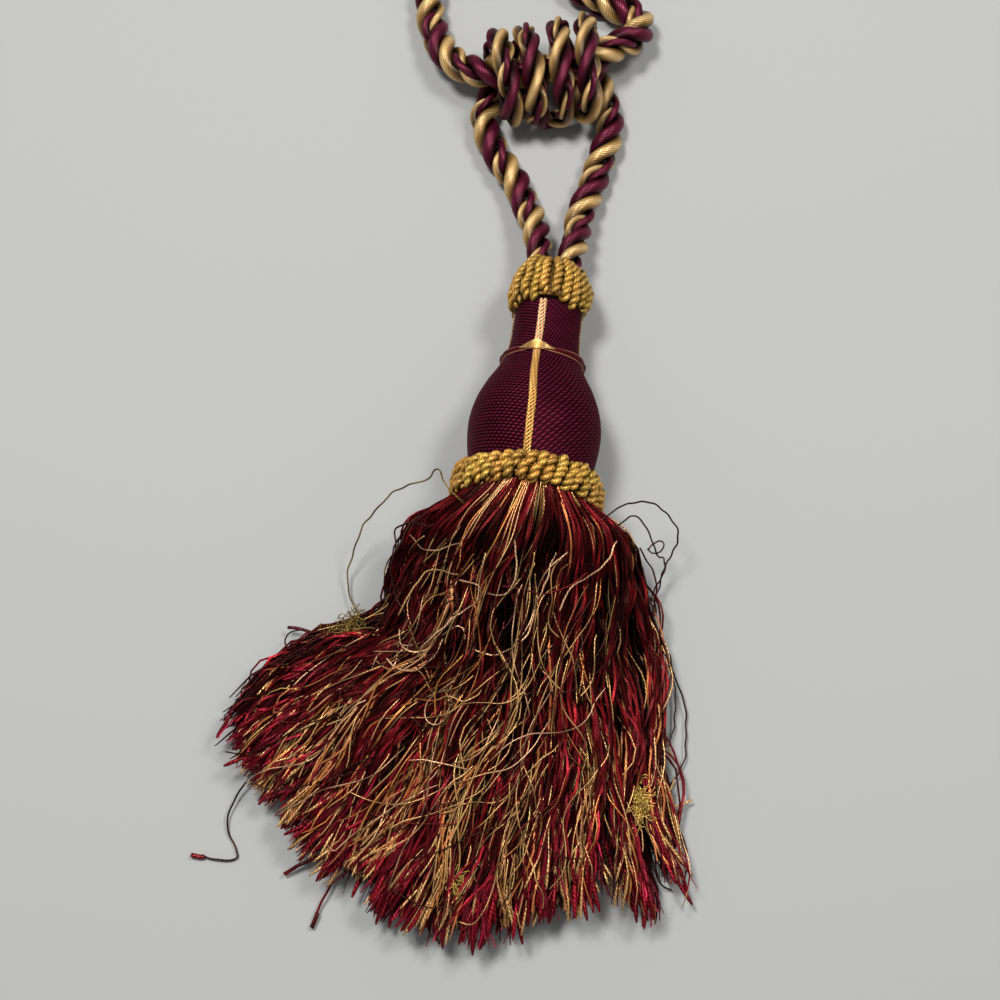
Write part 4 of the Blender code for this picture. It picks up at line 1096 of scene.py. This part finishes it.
def thread_starts(chance, kind, clumps):
    """Each thread's root, place across the fan, level and clump; locks choose gold or red threads."""
    count, top = round(kind["count"] * CANDIDATES), kind["top"]
    turn = chance.uniform(0.0, math.tau, count)
    share = np.sqrt(chance.uniform(0.0, 1.0, count))
    aside, raised = share * np.sin(turn), share * np.cos(turn)
    chord = np.sqrt(np.maximum(1e-6, 1.0 - aside * aside))
    level = np.clip(top + (1.0 - top) * (raised / chord + 1.0) / 2.0, 0.0, 1.0)
    raised = (2.0 * level - 1.0) * chord
    across = np.clip((np.arcsin(aside) + aside * chord * 0.8) / (math.pi / 2.0), -1.0, 1.0)
    face = HEAD_BASE - AXIS * (RUFF_THICK - ROOT_DEPTH)
    roots = face + (SIDE * aside[:, None] + FRONT * raised[:, None]) * ROOT_RADIUS
    gap = (across[:, None] - clumps["across"]) ** 2 * 9.0 + (level[:, None] - clumps["level"]) ** 2
    home = np.argmin(gap, axis=1)
    liking = clumps["gold"][home] if kind["kind"] in ("gold", "copper") else 1.15 - clumps["gold"][home]
    kept = np.argsort(chance.uniform(0.0, 1.0, count) - LIKING * liking)[:kind["count"]]
    return roots[kept], across[kept], level[kept], home[kept]


def fan_threads(chance, kind, clumps):
    """Threads of the skirt (n, m, 3), with the clump that each belongs to."""
    count, top = kind["count"], kind["top"]
    roots, across, level, home = thread_starts(chance, kind, clumps)
    clumps = {key: values[home] for key, values in clumps.items()}
    drawn = kind["pull"] * chance.uniform(*THREAD_DRAWN, count)
    sink = 0.0
    if kind["kind"] in ("gold", "copper"):
        sink = SINK * (chance.uniform(0.0, 1.0, count) < SINKING)
    controls = thread_controls(roots, across, level, clumps["across"], clumps["level"], clumps["lift"],
                               drawn, sink)
    end = across - SKIRT_SWAY[-1] * level * (1.0 - across * across)
    lobe = np.clip((LOBE_START - across) / (1.0 + LOBE_START), 0.0, 1.0) * (top > 0.0)
    short = lobe * LOBE_SHORT * chance.uniform(0.0, 1.0, count) ** 1.3
    length = len(SKIRT_ROWS) * (1.0 - THREAD_SHORT * chance.uniform(0.0, 1.0, count) ** 1.5
                                - clumps["short"] - short - CORE_SHORT * (top == 0.0))
    length += np.interp(end, *SKIRT_EDGE)
    lines = along_controls(controls, length[:, None] * np.linspace(0.0, 1.0, kind["steps"]))
    share = np.linspace(0.0, 1.0, kind["steps"])
    flare = (lobe * chance.uniform(-0.5, 0.7, count))[:, None] * share ** 3
    drop = lobe[:, None] * share ** 1.5
    lines[..., :2] += (flare[..., None] * LOBE_FLARE + drop[..., None] * LOBE_DROP) * MM
    drift = chance.normal(0.0, TIP_DRIFT, count)[:, None] * np.clip(share / 0.32 - 2.125, 0.0, 1.0) ** 2
    run = distances(lines) / MM
    side = unit(np.cross(unit(np.gradient(lines, axis=1)), UP))
    sway = wave_at(run, clumps["wave"][:, None], clumps["start"][:, None])
    sway = sway * clumps["sway"][:, None] * np.clip(run / 50.0, 0.0, 1.0)
    lines = lines + side * (sway + drift)[..., None] * MM
    strength = (chance.uniform(*THREAD_WAVE, count) + kind["loose"] * chance.uniform(0.0, 1.0, count) ** 2
                + LOBE_WAVE * lobe)
    lines = crinkle(chance, lines, strength, THREAD_WAVES)
    if top > 0.0:
        lines = hollowed(lines)
    lines[:, :, 2] = np.maximum(lines[:, :, 2], THREAD_FLOOR * MM)
    return lines, home


def make_clumps(chance, count):
    """The locks of the skirt: where each lies, and how long, wavy, light and gold it is."""
    return {"across": chance.uniform(-1.0, 1.0, count), "level": chance.uniform(0.0, 1.0, count),
            "short": chance.uniform(0.0, 1.0, count) ** 2 * 0.08, "sway": chance.uniform(0.6, 3.4, count),
            "wave": chance.uniform(45.0, 90.0, count), "start": chance.uniform(0.0, 6.28, count),
            "lift": chance.uniform(-2.6, 2.6, count), "shade": chance.normal(0.0, 0.16, count),
            "gold": chance.uniform(0.0, 1.0, count)}


def grid_cells(points, corner):
    """The grid cells that points (mm) lie in, counted from the grid's corner."""
    return ((points[..., :2] - corner) / DEPTH_CELL).astype(int)


def skirt_top(fans):
    """The skirt's upper height (mm) on a grid over the threads of all kinds, with the grid's corner."""
    points = np.concatenate([lines.reshape(-1, 3) for lines, _ in fans]) / MM
    corner = points[:, :2].min(axis=0) - 2.0 * DEPTH_CELL
    cells = grid_cells(points, corner)
    top = np.zeros(cells.max(axis=0) + 3)
    np.maximum.at(top, (cells[:, 0], cells[:, 1]), points[:, 2])
    near = [np.roll(top, shift, (0, 1)) for shift in ((0, 0), (1, 0), (-1, 0), (0, 1), (0, -1))]
    return 0.5 * np.max(near, axis=0) + 0.5 * np.mean(near, axis=0), corner


def depth_shade(lines, top, corner):
    """Painted shade for each point by its depth under the skirt's top, with a painted highlight on the
    topmost.
    """
    cells = np.clip(grid_cells(lines / MM, corner), 0, np.array(top.shape) - 1)
    return np.interp(top[cells[..., 0], cells[..., 1]] - lines[..., 2] / MM, *DEPTH_SHADE)


def thread_tints(chance, kind, lines, home, clumps, light):
    """Tints (n, m, 3): each thread its own colour, with painted shade by depth, along its length (darkest
    in the skirt's deep upper half) and in the hollows, and painted glints.
    """
    count, steps = lines.shape[:2]
    base = np.array(KINDS[kind])
    colours = base * np.exp(chance.normal(0.0, 0.22, (count, 1)) + clumps["shade"][home][:, None])
    colours = colours * (1.0 + chance.uniform(-0.12, 0.12, (count, 3)))
    if kind == "gold":
        pick = chance.uniform(0.0, 1.0, count)
        colours[pick < PALER[0]] *= np.array(PALER[1])
        colours[pick > 1.0 - BROWNER[0]] *= np.array(BROWNER[1])
    share = np.linspace(0.0, 1.0, steps)
    # painted shade and highlight along each thread's length; gold takes the depth's painted shade more
    # steeply
    if kind in ("gold", "copper"):
        deep, light = np.interp(share, LENGTH_PLACES, GOLD_LENGTH_SHADE), light ** 1.45
    else:
        deep = np.interp(share, LENGTH_PLACES, RED_LENGTH_SHADE)
    run = distances(lines) / MM
    # painted highlights: waves of lighter and darker along each thread, with glints at their peaks
    wave = wave_at(run, chance.uniform(7.0, 24.0, (count, 1)), chance.uniform(0.0, 6.28, (count, 1)))
    light = light * deep * (1.0 + 0.25 * wave + GLINT * np.maximum(wave, 0.0) ** 6) * hollow_shade(lines)
    tints = colours[:, None] * light[..., None]
    if kind in ("burgundy", "crimson"):
        tints[..., 2] *= np.interp(share, [0.0, 0.6, 0.85, 1.0], [0.75, 0.75, 0.95, 1.4])
    return tints / np.maximum(1.0, tints.max(axis=-1, keepdims=True) / 0.95)


def tip_taper(steps, size):
    """A thread's size along its length: even, then fine at its cut tip."""
    return np.interp(np.linspace(0.0, 1.0, steps), [0.0, 0.96, 1.0], [size, size, size * 0.5])


def add_threads(chance, kind, clumps, fan, top, material):
    """One kind of the skirt's threads: round ones for the core and the gold, flat ones between."""
    lines, home = fan
    tints = thread_tints(chance, kind["kind"], lines, home, clumps, depth_shade(lines, *top))
    size = tip_taper(kind["steps"], kind["size"] * MM)
    skirt = Shape()
    if kind["kind"] in ("deep", "gold"):
        skirt.tubes(lines, size[None], 3, colours=tints)
    else:
        turns = chance.uniform(-0.7, 0.7, (len(lines), 1)) + 0.5 * np.sin(
            distances(lines) / MM / 4.0 + chance.uniform(0.0, 6.28, (len(lines), 1)))
        skirt.ribbons(lines, size, turns, tints)
    if kind["kind"] == "crimson":
        add_tips(chance, skirt, lines, np.array(CRIMSON), 1.0)
    elif kind["kind"] == "gold":
        add_tips(chance, skirt, lines, 0.75 * np.array(STRAW), 0.64)
    skirt.make(kind["name"], [material], ("skirt",))


def add_tips(chance, skirt, lines, colour, size):
    """Cut ends, untwisted and fatter than their threads."""
    chosen = lines[chance.uniform(0.0, 1.0, len(lines)) < TIPPED]
    ends = chosen[:, -3:]
    fine = np.stack([ends[:, 0] + (ends[:, -1] - ends[:, 0]) * step for step in TIP_STEPS], axis=1)
    fine[:, :, 2] = np.maximum(fine[:, :, 2], 0.7 * MM)
    colours = (colour * np.exp(chance.normal(0.15, 0.25, (len(fine), 1, 1)))
               * np.ones((1, len(TIP_STEPS), 1)))
    skirt.tubes(fine, np.array(TIP_RADII)[None] * size * MM, 5, colours=colours)


def fan_points(where, across, lift):
    """Points on the skirt's upper side: rows down it, place across it, height above it in mm."""
    across = np.clip(across, -0.98, 0.98)
    roots = np.zeros((len(where), 3))
    ones = np.ones(len(where))
    controls = thread_controls(roots, across, ones, across, ones, 0.0 * ones, 0.0)
    points = along_controls(controls, where[:, None])[:, 0]
    points[:, 2] += lift * MM
    return points


def loose_line(chance):
    """One long thread that wanders and curls over the skirt's upper side."""
    steps = LOOSE_STEPS
    length = chance.uniform(*LOOSE_LENGTH)
    bend = np.cumsum(chance.normal(0.0, 0.07, steps))
    phase = np.linspace(0.0, chance.uniform(3.0, 9.0), steps) + chance.uniform(0.0, 6.28)
    bend = bend + np.sin(phase) * chance.uniform(0.15, 0.5)
    heading = chance.normal(*LOOSE_HEADING) + bend
    if chance.uniform() < LOOSE_CURLED:
        heading = heading + np.linspace(0.0, 1.0, steps) ** 2 * chance.choice([-1.0, 1.0]) * LOOSE_CURL
    step = length / steps
    where = chance.uniform(*LOOSE_ROWS) + np.cumsum(np.cos(heading)) * step / ROW_RUN
    across = chance.uniform(*LOOSE_ACROSS) + np.cumsum(np.sin(heading)) * step / FAN_HALF
    lift = 0.4 + 1.5 * np.abs(np.sin(np.linspace(0.0, chance.uniform(2.0, 7.0), steps)))
    return fan_points(np.clip(where, *LOOSE_REACH), across, lift)


def stretches(chance, lines):
    """Painted highlight and shade: light and dark stretches (n, m, 1) along loose threads."""
    each = (len(lines), 1)
    wave = wave_at(distances(lines) / MM, chance.uniform(10.0, 30.0, each), chance.uniform(0.0, 6.28, each))
    return (0.72 + 0.42 * wave)[..., None]


def add_loose_threads(material):
    """Long pale threads over the skirt, strays beside it and fuzzy tufts."""
    chance = np.random.default_rng(SEEDS["loose"])
    loose = Shape()
    lines = np.stack([recut(smooth_line(loose_line(chance)[::3], 0.5 * MM), LOOSE_POINTS)
                      for _ in range(LOOSE)])
    kinds = chance.choice(["pale", "gold", "gold", "copper", "crimson", "burgundy", "deep"], LOOSE)
    tints = np.array([KINDS[kind] for kind in kinds]) * np.exp(chance.normal(0.0, 0.15, (LOOSE, 1)))
    loose.tubes(lines, 0.20 * MM, 4, colours=tints[:, None] * stretches(chance, lines))
    for colour, radius, points in STRAYS:
        line = smooth_line(np.array(points, float) * MM, 0.9 * MM)[None]
        line = crinkle(chance, line, np.array([STRAY_WAVY]), STRAY_WAVES)
        loose.tubes(line, radius * MM, 6, colours=np.array(KINDS[colour]) * stretches(chance, line))
    for colour, place in TUFTS:
        fibres = tuft_lines(chance, np.array(place))
        shade = np.exp(chance.normal(0.0, 0.2, (TUFT_FIBRES, 1)))
        loose.tubes(fibres, 0.17 * MM, 3, colours=np.array(KINDS[colour]) * shade)
    loose.make("loose_threads", [material], ("skirt",))


def tuft_lines(chance, place):
    """Short curled fibres round a place (mm)."""
    start = place + chance.normal(0.0, 1.2, (TUFT_FIBRES, 3)) * np.array([0.9, 1.5, 0.6])
    each = (TUFT_FIBRES, 1)
    heading = (chance.normal(-1.75, 0.9, each) * chance.choice([-1.0, 1.0], each)
               + np.linspace(0.0, 1.0, TUFT_STEPS) * chance.uniform(-3.0, 3.0, each))
    walk = np.stack([np.cos(heading), np.sin(heading), 0.5 * np.sin(2.0 * heading)], axis=-1)
    return (start[:, None] + np.cumsum(walk, axis=1) * 0.42) * MM


def add_skirt(gold_thread, burgundy_thread):
    """The skirt's threads of every kind, with painted shade by how deep they lie, and the loose ones over
    them.
    """
    chance = np.random.default_rng(SEEDS["skirt"])
    clumps = make_clumps(chance, LOCKS)
    clumps["gold"] -= LOBE_GOLD * (clumps["across"] < LOBE_START)
    clumps["shade"] -= LOBE_DARK * (clumps["across"] < LOBE_START)
    fans = [fan_threads(chance, kind, clumps) for kind in THREADS]
    top = skirt_top(fans)
    for kind, fan in zip(THREADS, fans):
        material = gold_thread if kind["kind"] in ("gold", "copper") else burgundy_thread
        add_threads(chance, kind, clumps, fan, top, material)
    add_loose_threads(gold_thread)


# ---------------------------------------------------------------- the whole part
def main():
    """The stage, the cords, then the rest of the part from the head down."""
    add_table()
    add_light()
    add_camera()
    add_ropes()
    add_head()
    gold_cord = yarn("gold_cord", GOLD, (0.50, 0.38, 0.28), starts=2, pitch=2.6, groove_share=0.5,
                     bump=0.06, fibre=0.2, roughness=0.30, tinted=True, shine=0.7)
    ruff_gold = yarn("ruff_gold", RUFF_GOLD, (0.55, 0.42, 0.30), starts=5, pitch=5.0, groove_share=0.6,
                     bump=0.09, fibre=0.3, roughness=0.36, tinted=True, shine=0.6)
    tie_gold = yarn("tie_gold", TIE_GOLD, (0.70, 0.60, 0.45), starts=3, pitch=6.0, groove_share=0.4,
                    bump=0.02, fibre=0.15, roughness=0.22, tinted=True, shine=0.9)
    tie_copper = yarn("tie_copper", (0.36, 0.16, 0.10), (0.22, 0.09, 0.05), starts=2, pitch=2.0, bump=0.02)
    tie_burgundy = yarn("tie_burgundy", BURGUNDY, DEEP_BURGUNDY, starts=2, pitch=2.0, glint=ROSE_GLINT,
                        shine=0.15)
    thread_look = {"starts": 2, "pitch": 2.6, "groove_share": 0.9, "bump": 0.05, "fibre": 0.35,
                   "roughness": 0.30, "tinted": True, "satin": 0.5}
    gold_thread = yarn("gold_thread", STRAW, (0.38, 0.26, 0.16), glint=PEACH_GLINT, shine=0.5,
                       **thread_look)
    burgundy_thread = yarn("burgundy_thread", CRIMSON, (0.28, 0.20, 0.22), glint=ROSE_GLINT, shine=0.35,
                           **thread_look)
    add_stripes(gold_cord)
    add_upper_ruff(ruff_gold)
    add_lower_ruff(ruff_gold)
    add_neck_tie(tie_gold, tie_copper, tie_burgundy)
    add_skirt(gold_thread, burgundy_thread)


main()
